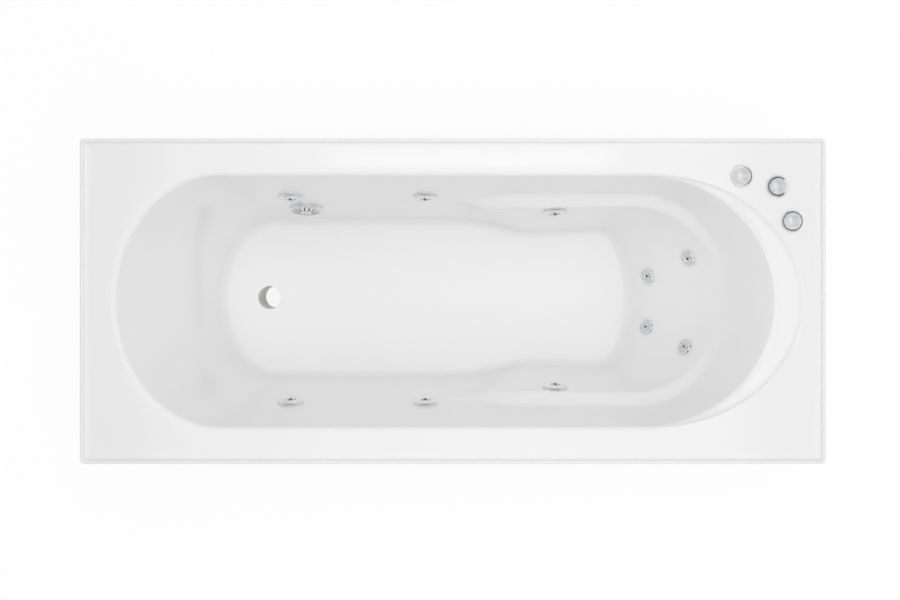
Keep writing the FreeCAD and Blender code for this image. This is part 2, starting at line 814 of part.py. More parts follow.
# ================================================================ waste
def make_waste():
    """A white tail bonded under the floor; the trap of the building slides onto its lower end."""
    length = floor_to_shell - waste_spigot_end
    outer = waste_hole + waste_spigot_wall
    tail = turned([(waste_hole, 0), (waste_flange_radius, 0), (waste_flange_radius, -waste_flange),
                   (outer + 3, -waste_flange), (outer, -waste_flange - 3), (outer, -length),
                    (waste_hole, -length)])
    save("waste_spigot", put(tail, waste))


# ================================================================ deck controls
def turn_about_z(angle, radius):
    around = math.radians(angle)
    place = Vector(radius * math.cos(around), radius * math.sin(around), 0)
    return FreeCAD.Placement(place, FreeCAD.Rotation())


def make_controls():
    deck = control_gasket
    top = deck + control_flange
    nut_top = -shell_wall
    bodies = []
    barrel = control_barrel_radius
    for frame in air_controls:
        body = turned([(0, top), (control_flange_radius - 2, top), (control_flange_radius, top - 2),
                       (control_flange_radius, deck), (barrel, deck), (barrel, -control_depth),
                       (air_pipe_radius + air_port_wall, -control_depth),
                       (air_pipe_radius + air_port_wall, -control_depth - 14), (0, -control_depth - 14)])
        body = body.cut(disc(knob_stem_radius + turning_clearance, -knob_stem_depth - 2, top + 1))
        body = body.cut(disc(air_pipe_bore, -control_depth - 15, 0))
        tail_end = -control_depth - 14
        pipe_hole = air_pipe_radius + turning_clearance
        body = body.cut(disc(pipe_hole, tail_end - 1, tail_end + air_socket_depth))
        bodies.append(put(body, frame))
        locknuts.append(put(control_nut(barrel, nut_top), frame))
        gaskets.append(put(ring(control_flange_radius - 2, barrel + control_hole_clear, 0, deck), frame))
    save("air_control_bodies", bodies)

    knob = turned([(0, top + clearance), (knob_radius, top + clearance), (knob_radius, top + 3),
                   (knob_dome_radius + 1, top + 7), (knob_dome_radius, knob_height * 0.72),
                   (knob_dome_radius * 0.82, knob_height * 0.9),
                   (knob_dome_radius * 0.45, knob_height * 0.985), (0, knob_height)])
    knob = knob.fuse(disc(knob_stem_radius, -knob_stem_depth, top + 1))
    grip = disc(2.2, top + 1.2, knob_height)
    grips = [put(grip, turn_about_z(k * 30, knob_radius + 0.8)) for k in range(12)]
    knob = cut(knob, grips + [disc(air_pipe_bore + 1.5, -knob_stem_depth - 1, -4)])
    for index, frame in enumerate(air_controls):
        save("air_knob_" + str(index + 1), put(knob, frame))

    wall = button_barrel_radius
    bore = button_cap_radius + button_cap_clear
    housing = turned([(0, top), (control_flange_radius - 2, top + 1), (control_flange_radius, top - 1),
                      (control_flange_radius, deck), (wall, deck), (wall, -control_depth + 10),
                      (air_pipe_radius, -control_depth + 10), (air_pipe_radius, -control_depth - 4),
                      (0, -control_depth - 4)])
    bottom = -control_depth + 12
    housing = housing.cut(disc(bore, -button_travel - 8, top + 2)).cut(disc(bore - 2.5, bottom, 0))
    housing = housing.cut(disc(button_tube_radius + turning_clearance, -control_depth - 5, bottom + 1))
    save("button_housing", put(housing, button))
    locknuts.append(put(control_nut(wall, nut_top), button))
    gaskets.append(put(ring(control_flange_radius - 2, wall + control_hole_clear, 0, deck), button))

    cap_top = top + button_travel + 1
    skirt_foot = -button_travel
    cap = turned([(0, cap_top - 3), (button_cap_radius - 2.5, cap_top - 3),
                  (button_cap_radius - 2.5, skirt_foot + 2), (button_cap_radius, skirt_foot + 2),
                  (button_cap_radius, cap_top - 1), (button_cap_radius * 0.93, cap_top + 0.8),
                  (button_cap_radius * 0.7, cap_top + button_dome * 0.6),
                  (button_cap_radius * 0.38, cap_top + button_dome * 0.93), (0, cap_top + button_dome)])
    save("button_cap", put(cap, button))
    low = bottom
    high = cap_top - 3
    folds = 3
    pitch = (high - low) / folds
    outside = [(bellows_radius * 0.6, low)]
    for k in range(folds):
        outside.append((bellows_radius, low + (k + 0.5) * pitch))
        outside.append((bellows_radius * 0.6, low + (k + 1) * pitch))
    inside = [(radius - 1.5, height) for radius, height in reversed(outside)]
    inside[0] = (inside[0][0], high - 1.5)
    bellows = turned(outside + [(0, high), (0, high - 1.5)] + inside)
    save("button_bellows", put(bellows, button))


def control_nut(barrel, top):
    nut = ring(barrel + 6, barrel + thread_clearance, top - control_nut_height, top)
    return nut.fuse(ring(barrel + 9, barrel + thread_clearance, top - 2, top))


# ================================================================ support
def make_support():
    board_low = floor_to_shell - board_thickness
    start, end = side_span(bath_depth)
    reach_foot = foot_reach(bath_depth) + floor_edge_radius + board_margin
    reach_head = head_reach(bath_depth) - floor_edge_radius - board_margin
    half = floor_half_width - floor_edge_radius - board_margin
    narrow = half - arm_reach
    board = box((reach_foot, -half, board_low), (start + half, half, floor_to_shell))
    corners = [edge for edge in upright_edges(board) if edge.BoundBox.XMax < reach_foot + 0.01]
    board = board.makeFillet(board_corner, corners)
    waist_start = arm_origin_x + arm_start_floor
    waist_end = arm_origin_x + arm_full_floor
    edge_line = [(start, half), (waist_start, half), (waist_end, narrow), (reach_head, narrow)]
    corners = edge_line + [(x, -y) for x, y in reversed(edge_line)] + [edge_line[0]]
    outline = Part.makePolygon([Vector(x, y, board_low) for x, y in corners])
    board = board.fuse(Part.Face(outline).extrude(Vector(0, 0, board_thickness)))
    board = board.cut(put(disc(waste_flange_radius + 1, -board_thickness - 1, 1), waste))
    hole = disc(screw_radius + clearance, board_low - 1, floor_to_shell - 3)
    holes = [hole.translated(Vector(x, y, 0)) for x, y in screw_places()]
    save("base_board", cut(board, holes))

    rail_low = board_low - 2 * tube_size
    rail_top = board_low - tube_size
    pieces = []
    hollows = []
    half = tube_size / 2
    bore = half - tube_wall
    reach = rail_y + half
    for y in (rail_y, -rail_y):
        pieces.append(box((rail_foot_x, y - half, rail_low), (rail_head_x, y + half, rail_top)))
        hollows.append(box((rail_foot_x - 1, y - bore, rail_low + tube_wall),
                           (rail_head_x + 1, y + bore, rail_top - tube_wall)))
    for x in cross_x:
        pieces.append(box((x - half, -reach, rail_top), (x + half, reach, board_low)))
        hollows.append(box((x - bore, -reach - 1, rail_top + tube_wall),
                           (x + bore, reach + 1, board_low - tube_wall)))
    frame = cut(fuse(pieces), hollows)
    frame = frame.fuse(box((pump_x - pump_plate_width / 2, -reach, rail_top),
                           (pump_x + pump_plate_width / 2, reach, rail_top + pump_plate_thickness)))
    brackets = []
    half = foot_bracket / 2
    gusset = foot_bracket * 0.35
    bracket_low = rail_top - foot_bracket_thickness
    for x, y in foot_places():
        inner = math.copysign(reach, y)
        low_y, high_y = sorted((inner, inner + math.copysign(foot_bracket, y)))
        brackets.append(box((x - half, low_y, bracket_low), (x + half, high_y, rail_top)))
        low_y, high_y = sorted((inner, inner + math.copysign(gusset, y)))
        for low_x in (x - half, x + half - gusset_thickness):
            brackets.append(box((low_x, low_y, rail_low), (low_x + gusset_thickness, high_y, rail_top - 1)))
    frame = fuse([frame] + brackets)
    stud_hole = disc(foot_stud_radius + foot_stud_clear, bracket_low - 1, rail_top + 1)
    screw_hole = disc(screw_radius + clearance, rail_top - 1, board_low + 1)
    holes = [stud_hole.translated(Vector(x, y, 0)) for x, y in foot_places()]
    holes += [screw_hole.translated(Vector(x, y, 0)) for x, y in screw_places()]
    save("cradle_frame", cut(frame, holes))

    head_top = board_low - tube_wall
    shank = disc(screw_radius, head_top - 2, floor_to_shell - 3.5)
    screw = shank.fuse(disc(screw_head_radius, head_top - screw_head_height, head_top))
    save("board_screws", [screw.translated(Vector(x, y, 0)) for x, y in screw_places()])

    nuts = []
    for index, (x, y) in enumerate(foot_places()):
        pad = turned([(0, 0), (foot_pad_radius, 0), (foot_pad_radius, foot_pad_height * 0.5),
                      (foot_pad_radius * 0.45, foot_pad_height), (0, foot_pad_height)])
        stud = disc(foot_stud_radius, foot_pad_height - 1, rail_top + foot_nut_height + 6)
        flats = hexagon(foot_nut_size, foot_pad_height - 1, foot_pad_height + 8)
        save("levelling_foot_" + str(index + 1), fuse([pad, stud, flats]).translated(Vector(x, y, 0)))
        bore = disc(foot_stud_radius + turning_clearance, rail_top - 1, rail_top + foot_nut_height + 1)
        nut = hexagon(foot_nut_size, rail_top, rail_top + foot_nut_height).cut(bore)
        nuts.append(nut.translated(Vector(x, y, 0)))
    save("foot_locknuts", nuts)

    battens = []
    top = floor_to_deck - shell_wall
    outer = bath_width / 2 - shell_wall
    for side in (1, -1):
        low_y, high_y = sorted((side * outer, side * (outer - batten_width)))
        battens.append(box((foot_end + batten_end_gap, low_y, top - batten_height),
                           (head_end - batten_head_gap, high_y, top)))
    save("rim_battens", battens)


def screw_places():
    return [(x, side * screw_y) for x in cross_x for side in (1, -1)]


def foot_places():
    reach = rail_y + tube_size / 2 + foot_bracket / 2
    return [(x, side * reach) for x in foot_x for side in (1, -1)]


# ================================================================ pump
def along_y(shape, y):
    """Turn a shape built along Z so that it lies along -Y from y, at the pump's axis."""
    return put(shape, placement(Vector(pump_x, y, pump_z), Vector(0, -1, 0), Vector(1, 0, 0)))


def make_pump():
    front = pump_y + volute_width / 2
    inner = volute_radius - volute_wall
    lug_places = [turn_about_z(k * 60 + 30, volute_radius + 2) for k in range(6)]
    lug = disc(lug_radius, volute_width - 12, volute_width)
    volute = disc(volute_radius, 0, volute_width)
    volute = volute.fuse(disc(suction_pipe_radius + 4, -inlet_length, 5))
    neck_y = volute_width / 2
    mouth = Vector(-discharge_shift, discharge_height, neck_y)
    throat = Vector(-discharge_shift, 0, neck_y)
    lip = Vector(0, 1, 0)
    riser = rod(throat, mouth, water_pipe_radius + discharge_wall)
    volute = fuse([volute, riser] + [put(lug, place) for place in lug_places])
    volute = volute.cut(disc(inner, volute_wall, volute_width + 1))
    volute = volute.cut(disc(suction_pipe_radius - suction_pipe_wall, -inlet_length - 1, volute_wall + 1))
    socket = suction_pipe_radius + turning_clearance
    volute = volute.cut(disc(socket, -inlet_length - 1, -inlet_length + socket_depth))
    volute = volute.cut(rod(throat + lip * 20, mouth + lip, water_pipe_radius - water_pipe_wall))
    volute = volute.cut(rod(mouth - lip * socket_depth, mouth + lip, water_pipe_radius + turning_clearance))
    save("pump_volute", along_y(volute, front))

    plate_low = volute_width
    plate = disc(volute_radius, plate_low, plate_low + seal_plate)
    plate_lug = disc(lug_radius, plate_low, plate_low + seal_plate)
    plate = fuse([plate] + [put(plate_lug, place) for place in lug_places])
    plate = plate.fuse(disc(inner - clearance, plate_low - 3, plate_low + 1))
    plate = plate.cut(disc(shaft_radius + turning_clearance, plate_low - 4, plate_low + seal_plate + 1))
    save("pump_seal_plate", along_y(plate, front))

    motor_low = plate_low + seal_plate
    motor_high = motor_low + motor_length
    motor = disc(motor_radius, motor_low, motor_high)
    fins = []
    half_fin = motor_fin_width / 2
    for k in range(motor_fins):
        fin = box((motor_radius - 1, -half_fin, motor_low + 12),
                  (motor_radius + motor_fin_height, half_fin, motor_high - 12))
        fin.rotate(Vector(0, 0, 0), Vector(0, 0, 1), (k + 0.5) * 360 / motor_fins)
        fins.append(fin)
    saddle = box((-pump_foot_half, -pump_foot_height, motor_low + 20),
                 (pump_foot_half, -motor_radius * 0.6, motor_high - 20))
    arch = pump_foot_half - 2 * pump_rubber_radius
    saddle = saddle.cut(box((-arch, -pump_foot_height - 1, motor_low),
                            (arch, -motor_radius - motor_fin_height, motor_high)))
    inside_low = motor_low + motor_wall + bearing_width
    inside_high = motor_high - motor_wall - bearing_width
    motor = fuse([motor, saddle] + fins)
    motor = motor.cut(disc(motor_radius - motor_wall, inside_low, inside_high))
    motor = motor.cut(disc(shaft_radius + 1, motor_low - 1, motor_high + 1))
    motor = motor.cut(disc(bearing_radius + turning_clearance, motor_low + motor_wall, inside_low + 1))
    motor = motor.cut(disc(bearing_radius + turning_clearance, inside_high - 1, motor_high - motor_wall))
    save("pump_motor_housing", along_y(motor, front))

    stator_low = inside_low + 14
    stator_high = inside_high - 14
    stator = ring(motor_radius - motor_wall, stator_bore, stator_low, stator_high)
    winding = ring(motor_radius - motor_wall - 5, stator_bore + 3, stator_low - 9, stator_high + 9)
    stator = stator.fuse(winding)
    save("pump_stator", along_y(stator, front))
    bearings = []
    for low in (motor_low + motor_wall, inside_high):
        bearing = ring(bearing_radius, shaft_radius + turning_clearance, low, low + bearing_width)
        bearings.append(along_y(bearing, front))
    save("pump_bearings", bearings)

    shaft = disc(shaft_radius, volute_wall + 8, motor_high + fan_cover_length - 16)
    core = disc(rotor_core_radius, stator_low, stator_high)
    save("pump_shaft", along_y(shaft.fuse(core), front))

    hub_low = volute_wall + 6
    impeller = disc(impeller_radius, volute_width - 12, volute_width - 8)
    impeller = impeller.fuse(disc(shaft_radius + 6, hub_low, volute_width - 6))
    vanes = []
    for k in range(impeller_vanes):
        radius = impeller_radius * 0.62
        vane = ring(radius, radius - 2.5, volute_width - 28, volute_width - 11)
        vane.translate(Vector(radius * 0.86, 0, 0))
        keep = box((0, 0, volute_width - 29), (impeller_radius * 2, impeller_radius * 2, volute_width - 10))
        vane = vane.common(keep).common(disc(impeller_radius, 0, volute_width))
        vane.rotate(Vector(0, 0, 0), Vector(0, 0, 1), k * 360 / impeller_vanes)
        vanes.append(vane)
    impeller = fuse([impeller] + vanes).cut(disc(shaft_radius, volute_wall + 8, volute_width))
    save("pump_impeller", along_y(impeller, front))

    fan_low = motor_high + 6
    fan = ring(shaft_radius + 7, shaft_radius, fan_low, fan_low + 16)
    blades = []
    for k in range(fan_blades):
        blade = box((shaft_radius + 5, -1, fan_low), (fan_radius, 1, fan_low + 15))
        blade.rotate(Vector(shaft_radius, 0, fan_low + 8), Vector(1, 0, 0), 28)
        blade.rotate(Vector(0, 0, 0), Vector(0, 0, 1), k * 360 / fan_blades)
        blades.append(blade)
    save("pump_fan", along_y(fuse([fan] + blades), front))

    cover_end = motor_high + fan_cover_length
    cover = disc(motor_radius + fan_cover_wall + clearance, motor_high - 8, cover_end)
    cover = cover.cut(disc(motor_radius + clearance, motor_high - 9, cover_end - fan_cover_wall))
    slots = []
    slot = disc(3.6, cover_end - 5, cover_end + 1)
    for radius, count in ((16, 6), (28, 10), (40, 14)):
        for k in range(count):
            slots.append(put(slot, turn_about_z(k * 360 / count, radius)))
    save("pump_fan_cover", along_y(cut(cover, slots), front))

    width, depth, height = terminal_box
    seat = pump_z + motor_radius + motor_fin_height
    middle = front - (motor_low + motor_high) / 2
    left, right = pump_x - width / 2, pump_x + width / 2
    lid = box((left, middle - depth / 2, seat), (right, middle + depth / 2, seat + height))
    lid = lid.makeFillet(5, upright_edges(lid))
    neck = box((pump_x - 16, middle - 20, pump_z + motor_radius - 0.5),
               (pump_x + 16, middle + 20, seat + 1))
    neck = neck.cut(along_y(disc(motor_radius, motor_low - 10, motor_high + 10), front))
    for fin in fins:
        neck = neck.cut(along_y(fin, front))
    gland_seat = Vector(left, middle - 18, seat + 15)
    gland = rod(gland_seat - along_x * 14, gland_seat + along_x, 8)
    gland = gland.cut(rod(gland_seat - along_x * 15, gland_seat - along_x * 5, 4))
    tube_end = Vector(right, tube_end_y, tube_end_z)
    nipple = rod(tube_end - along_x, tube_end + along_x * 10, button_tube_radius + 1.5)
    tube_bore = rod(tube_end - along_x, tube_end + along_x * 11, button_tube_radius + turning_clearance)
    save("pump_terminal_box", fuse([lid, neck, gland, nipple]).cut(tube_bore))

    rubbers = []
    for side in (1, -1):
        for low in (motor_low + 36, motor_high - 36):
            foot = Vector(pump_x + side * (pump_foot_half - pump_rubber_radius), front - low,
                          pump_z - pump_foot_height - pump_rubber)
            rubbers.append(Part.makeCylinder(pump_rubber_radius, pump_rubber, foot))
    save("pump_rubber_feet", rubbers)


# ================================================================ pipes
def seated_end(frame, offset, seat):
    """Where a pipe ends inside a port: seat is the distance along X from the port's middle."""
    return port_centre(frame, offset) + along_x * seat


def make_pipes():
    inner = water_pipe_radius - water_pipe_wall
    seat = water_port_reach - socket_depth + clearance
    air_seat = air_port_reach - air_socket_depth + clearance
    runs = []
    air_runs = []
    for side in (0, 3):
        for k in (0, 1):
            first, second = side_jets[side + k], side_jets[side + k + 1]
            start = seated_end(first, water_port_offset, seat)
            end = seated_end(second, water_port_offset, -seat)
            runs.append(link(start, end, water_pipe_radius, inner, water_bend))
            start = seated_end(first, air_port_offset, air_seat)
            end = seated_end(second, air_port_offset, -air_seat)
            air_runs.append(link(start, end, air_pipe_radius, air_pipe_bore, air_bend))
    save("jet_water_pipes", runs)

    start = seated_end(side_jets[2], water_port_offset, seat)
    corner = Vector(header_x, start.y, header_z)
    points = [start, corner, mirrored_y(corner), mirrored_y(start)]
    header = pipe(points, water_pipe_radius, inner, header_bend)
    stubs = []
    bores = []
    for frame in back_jets:
        start, end = hose_direction(frame)
        along = (end - start).normalize()
        past = end - along * (header_stub + 1)
        stubs.append(rod(end, end - along * header_stub, back_hose_radius + air_port_wall))
        bores.append(rod(end, past, back_hose_radius - back_hose_wall))
        bores.append(rod(end - along * header_stub_seat, past, back_hose_radius + turning_clearance))
    top = Vector(header_x, pump_y, header_z)
    foot = Vector(header_x, pump_y, pump_z + discharge_height - socket_depth + clearance)
    riser = rod(top, foot, water_pipe_radius)
    tank_end = Vector(header_x, header_straight, header_z)
    tank_bore = rod(mirrored_y(tank_end), tank_end, inner)
    header = fuse([header, riser] + stubs)
    header = cut(header, [rod(top, foot - Vector(0, 0, 1), inner), tank_bore] + bores)
    save("header_pipe", header)

    inlet = Vector(pump_x, pump_y + volute_width / 2 + inlet_length - socket_depth + clearance, pump_z)
    start = seated_end(suction, suction_port_offset, suction_port_reach - socket_depth + clearance)
    points = [start, Vector(suction_bend_x, start.y, start.z),
              Vector(pump_x, start.y + suction_outset, pump_z), inlet]
    suction_bore = suction_pipe_radius - suction_pipe_wall
    save("suction_pipe", pipe(points, suction_pipe_radius, suction_bore, suction_bend))

    # each air return climbs over the header on its way up to its control
    over = floor_to_deck - air_return_drop
    for (x, y), jet in zip(air_control_places, (side_jets[2], side_jets[5])):
        start = seated_end(jet, air_port_offset, air_seat)
        end = Vector(x, y, floor_to_deck - control_depth - 14 + air_socket_depth - clearance)
        points = [start, start + along_x * air_lead, Vector(x, y, over), end]
        if start.y < 0:
            points.insert(2, Vector(x, start.y, over))
        air_runs.append(pipe(points, air_pipe_radius, air_pipe_bore, air_bend))
    save("air_pipes", air_runs)

    x, y = button_place
    top = Vector(x, y, floor_to_deck - control_depth + 12)
    nipple_end = Vector(pump_x + terminal_box[0] / 2 + clearance, tube_end_y, tube_end_z)
    points = [top, Vector(x, y, floor_to_deck - tube_drop), Vector(tube_side_x, y - 90, tube_end_z + 60),
              Vector(tube_side_x, tube_end_y, tube_end_z), nipple_end]
    save("button_air_tube", pipe(points, button_tube_radius, button_tube_radius - 0.8, tube_bend))


def link(start, end, radius, bore, bend):
    """A pipe from one jet to the next; it steps in where the armrest sets the jet further in."""
    if abs(start.y - end.y) < 1:
        tube = rod(start, end, radius)
        step = (end - start).normalize()
        return tube.cut(rod(start - step, end + step, bore))
    lead = along_x * ((end.x - start.x) / 3)
    points = [start, start + lead, end - lead, end]
    return pipe(points, radius, bore, bend)


def tell_places():
    """Print where the turning and sliding pieces have their axes."""
    places = [("side_jet_" + str(k + 1), frame) for k, frame in enumerate(side_jets)]
    places += [("back_jet_" + str(k + 1), frame) for k, frame in enumerate(back_jets)]
    places += [("suction", suction), ("button", button), ("waste", waste)]
    places += [("air_control_" + str(k + 1), frame) for k, frame in enumerate(air_controls)]
    for name, frame in places:
        out = frame.Rotation.multVec(Vector(0, 0, 1))
        across = frame.Rotation.multVec(Vector(1, 0, 0))
        print("place", name, *["%.4f" % value for value in (*frame.Base, *out, *across)])
    print("pump axis at x %.3f z %.3f" % (pump_x, pump_z), "header z %.3f" % header_z)
    print("shell floor z", floor_to_shell, "deck z", floor_to_deck)


def make_everything():
    os.makedirs("parts", exist_ok=True)
    make_shell()
    make_side_jets()
    make_back_jets()
    make_suction()
    make_waste()
    make_controls()
    save("fitting_gaskets", gaskets)
    save("fitting_locknuts", locknuts)
    make_support()
    make_pump()
    make_pipes()
    tell_places()
    for name, shape in made:
        box_of = shape.BoundBox
        line = "%-22s solids %d volume %.0f valid %s"
        print(line % (name, len(shape.Solids), shape.Volume, shape.isValid()))


make_everything()
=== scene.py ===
# %% [markdown]
# # A built-in jetted bath
# The bath is a white pressed shell on a steel cradle, with chrome jets, a suction
# fitting, deck controls, and a pump and its pipes underneath.  The rigid pieces come from
# the CAD frame.  This lesson gives each one its finish, and builds the few pieces whose
# curves or threads are better made in Blender.

# %% Load the frame
import bpy
import bmesh
import json
import math
import numpy as np
from mathutils import Matrix, Vector


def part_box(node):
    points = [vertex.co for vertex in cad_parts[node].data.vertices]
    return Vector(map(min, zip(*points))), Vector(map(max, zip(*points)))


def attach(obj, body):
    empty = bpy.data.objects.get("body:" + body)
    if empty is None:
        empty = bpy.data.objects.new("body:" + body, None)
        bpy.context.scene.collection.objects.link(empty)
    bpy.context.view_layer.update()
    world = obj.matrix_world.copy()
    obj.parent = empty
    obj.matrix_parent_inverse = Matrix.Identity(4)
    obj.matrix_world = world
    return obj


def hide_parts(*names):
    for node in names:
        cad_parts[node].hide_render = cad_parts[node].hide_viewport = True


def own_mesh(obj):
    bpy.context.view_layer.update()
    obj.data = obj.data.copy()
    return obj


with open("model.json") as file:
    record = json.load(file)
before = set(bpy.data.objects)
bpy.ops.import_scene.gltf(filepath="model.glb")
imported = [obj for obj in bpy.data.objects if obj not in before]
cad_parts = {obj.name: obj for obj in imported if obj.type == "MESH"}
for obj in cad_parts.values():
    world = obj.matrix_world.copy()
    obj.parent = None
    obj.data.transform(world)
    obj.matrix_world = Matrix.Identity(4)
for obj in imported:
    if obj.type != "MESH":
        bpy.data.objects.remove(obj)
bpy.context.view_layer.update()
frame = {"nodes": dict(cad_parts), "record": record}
nodes = frame["nodes"]

# %% [markdown]
# ## The camera
# The photograph looks straight down into the bath from about two metres over the rim.
# A camera that looks straight down keeps the rim a true rectangle; a slight shift of the
# lens, and not a tilt, puts the point right under the camera a little above the middle.

# %% Camera
rim_height = 0.535
camera_over_rim = 2.2
lens = bpy.data.cameras.new("overhead_lens")
lens.sensor_width = 36.0
lens.lens = 39.71
lens.shift_y = -0.0256
camera = bpy.data.objects.new("overhead_camera", lens)
camera.location = (-0.0061, 0.0537, rim_height + camera_over_rim)
bpy.context.scene.collection.objects.link(camera)
bpy.context.scene.camera = camera
print("camera", tuple(camera.location))

# %% [markdown]
# ## Light and background
# A bathroom catalogue picture has one large soft light overhead and pale walls all
# round.  The floor is a real pale sheet, so it keeps the bath's shadow, and it looks white
# to the camera and in the chrome because of its own pale glow for those rays alone.
# Chrome needs something dark to mirror, or it looks like plain plastic, so the part of
# the room right overhead, where a studio keeps its dark ceiling, is darker in mirrors.
# A broad lamp overhead gives the soft gloss.  A narrower one over the middle of the bath
# is hidden from mirrors, so that it lights the bowl without drawing its own outline, and
# a thin strip light leaves the bright line along the far deck.

# %% Colour handling
scene = bpy.context.scene
scene.view_settings.view_transform = "Standard"


def new_object(name, mesh):
    made = bpy.data.objects.new(name, mesh)
    bpy.context.scene.collection.objects.link(made)
    return made


def add(tree, kind, **settings):
    """One shader node, with its settings."""
    node = tree.nodes.new(kind)
    for key, value in settings.items():
        setattr(node, key, value)
    return node


def seen_rays(tree):
    """1 for rays that show a surface: straight, in a mirror or through glass."""
    path = add(tree, "ShaderNodeLightPath")
    first = add(tree, "ShaderNodeMath", operation="MAXIMUM")
    both = add(tree, "ShaderNodeMath", operation="MAXIMUM")
    tree.links.new(path.outputs["Is Camera Ray"], first.inputs[0])
    tree.links.new(path.outputs["Is Glossy Ray"], first.inputs[1])
    tree.links.new(first.outputs[0], both.inputs[0])
    tree.links.new(path.outputs["Is Transmission Ray"], both.inputs[1])
    return both.outputs[0]


# %% World
world = bpy.data.worlds.new("pale_room")
world.use_nodes = True
scene.world = world
room = world.node_tree
room.nodes.clear()


def glow(tree, strength):
    node = add(tree, "ShaderNodeBackground")
    node.inputs["Color"].default_value = (1.0, 1.0, 1.0, 1.0)
    if isinstance(strength, float):
        node.inputs["Strength"].default_value = strength
    else:
        tree.links.new(strength, node.inputs["Strength"])
    return node.outputs[0]


def either(tree, choice, first, second):
    node = add(tree, "ShaderNodeMixShader")
    tree.links.new(choice, node.inputs[0])
    tree.links.new(first, node.inputs[1])
    tree.links.new(second, node.inputs[2])
    return node.outputs[0]


sky = add(room, "ShaderNodeTexCoord")
sky_parts = add(room, "ShaderNodeSeparateXYZ")
room.links.new(sky.outputs["Generated"], sky_parts.inputs[0])
ceiling = add(room, "ShaderNodeMapRange", interpolation_type="SMOOTHSTEP")
room.links.new(sky_parts.outputs["Z"], ceiling.inputs["Value"])
for socket, value in (("From Min", 0.1), ("From Max", 0.75), ("To Min", 0.85), ("To Max", 0.2)):
    ceiling.inputs[socket].default_value = value
path = add(room, "ShaderNodeLightPath")
mirrored = either(room, path.outputs["Is Glossy Ray"], glow(room, 0.53), glow(room, ceiling.outputs[0]))
seen = either(room, path.outputs["Is Camera Ray"], mirrored, glow(room, 1.0))
room_out = add(room, "ShaderNodeOutputWorld")
room.links.new(seen, room_out.inputs[0])
print("world ready")

# %% Floor
floor_reach = 6.0
floor_mesh = bpy.data.meshes.new("floor_sheet")
floor_level = -0.001
signs = [(-1, -1), (1, -1), (1, 1), (-1, 1)]
corners = [(x * floor_reach, y * floor_reach, floor_level) for x, y in signs]
floor_mesh.from_pydata(corners, [], [(0, 1, 2, 3)])
floor = new_object("floor", floor_mesh)
floor_paint = bpy.data.materials.new("floor_paint")
floor_paint.use_nodes = True
tree = floor_paint.node_tree
tree.nodes.clear()
matte = add(tree, "ShaderNodeBsdfDiffuse")
matte.inputs["Color"].default_value = (0.93, 0.93, 0.93, 1.0)
own_light = add(tree, "ShaderNodeEmission")
own_light.inputs["Strength"].default_value = 1.06
share = add(tree, "ShaderNodeMath", operation="MULTIPLY")
share.inputs[1].default_value = 0.8
surface = add(tree, "ShaderNodeOutputMaterial")
tree.links.new(seen_rays(tree), share.inputs[0])
tree.links.new(either(tree, share.outputs[0], matte.outputs[0], own_light.outputs[0]), surface.inputs[0])
floor.data.materials.append(floor_paint)

# %% Lamps
def soft_lamp(name, place, aim, size, power):
    """A rectangular soft box that points at a spot on the bath."""
    lamp = bpy.data.lights.new(name, "AREA")
    lamp.shape = "RECTANGLE"
    lamp.size = size[0]
    lamp.size_y = size[1]
    lamp.energy = power
    made = bpy.data.objects.new(name, lamp)
    made.location = place
    direction = Vector(aim) - Vector(place)
    made.rotation_euler = direction.to_track_quat("-Z", "Y").to_euler()
    bpy.context.scene.collection.objects.link(made)
    return made


soft_lamp("overhead_softbox", (0.0, 0.1, 3.4), (0.0, 0.1, 0.4), (3.0, 2.0), 15.0)
middle_softbox = soft_lamp("middle_softbox", (0.25, 0.0, 3.1), (0.25, 0.0, 0.4), (1.1, 3.4), 13.5)
middle_softbox.visible_glossy = False
soft_lamp("strip_light", (0.085, 0.62, 3.135), (0.085, 0.62, 0.535), (1.37, 0.055), 0.8)
soft_lamp("far_side_softbox", (-0.1, 1.7, 3.1), (0.0, 0.0, 0.4), (1.6, 0.8), 5.0)
soft_lamp("near_side_softbox", (0.8, -1.9, 2.6), (0.2, 0.0, 0.4), (1.6, 0.8), 6.0)
soft_lamp("head_end_softbox", (2.6, 0.2, 2.4), (0.2, 0.0, 0.3), (1.2, 1.2), 2.5)
print("lamps ready")

# %% [markdown]
# ## The shell's outline
# The real shell is one sheet of acrylic drawn over a mould, so its surface has no seams:
# two half ellipses joined by side walls at every level, with armrests that swell out of
# the sides and a shallow dish round the head end.  A mesh of level rings, each with the
# same number of points, follows such a form exactly, and its reflections stay clean
# where a mesh cut from flat facets would show them.  All sizes here are in millimetres,
# and mm turns them into Blender's metres.

# %% Sizes of the shell
mm = 0.001
length, width, deck_level = 1650.0, 720.0, 535.0
depth, wall = 400.0, 5.0
deck_side, deck_foot, deck_head = 80.0, 75.0, 96.0
roll, edge_radius = 8.0, 16.0
foot_round, head_round = (234.0, 150.0), (296.0, 80.0)
floor_half, foot_inset, head_inset = 202.0, 150.0, 270.0
back_swell, back_swell_start = 0.28, 0.24
arm_reach, arm_bump, arm_bump_x, arm_bump_spread = 25.0, 8.0, 215.0, 80.0
arm_start, arm_full = (-28.0, 19.0), (25.0, 200.0)
arm_levels, arm_rise_length, ledge_drop = (188.0, 140.0), 170.0, 34.0
band_centre, band_length = 450.0, 320.0
band_depths = [0.0, 2.5, 6.0, 12.0, 17.0, 24.0]
band_shares = [1.0, 1.0, 0.85, 0.15, 0.0, 0.0]
band_steps = [5.0, 1.0, 0.0, 3.5, 0.5, 0.0]


def blend(start, end, share):
    return start + (end - start) * share


def smooth(value):
    value = min(max(value, 0.0), 1.0)
    return value * value * (3.0 - 2.0 * value)


def head_reach(level):
    share = level / depth
    wave = math.sin(2 * math.pi * (share - back_swell_start)) + math.sin(2 * math.pi * back_swell_start)
    return length / 2 - deck_head - head_inset * (share - back_swell / (2 * math.pi) * wave)


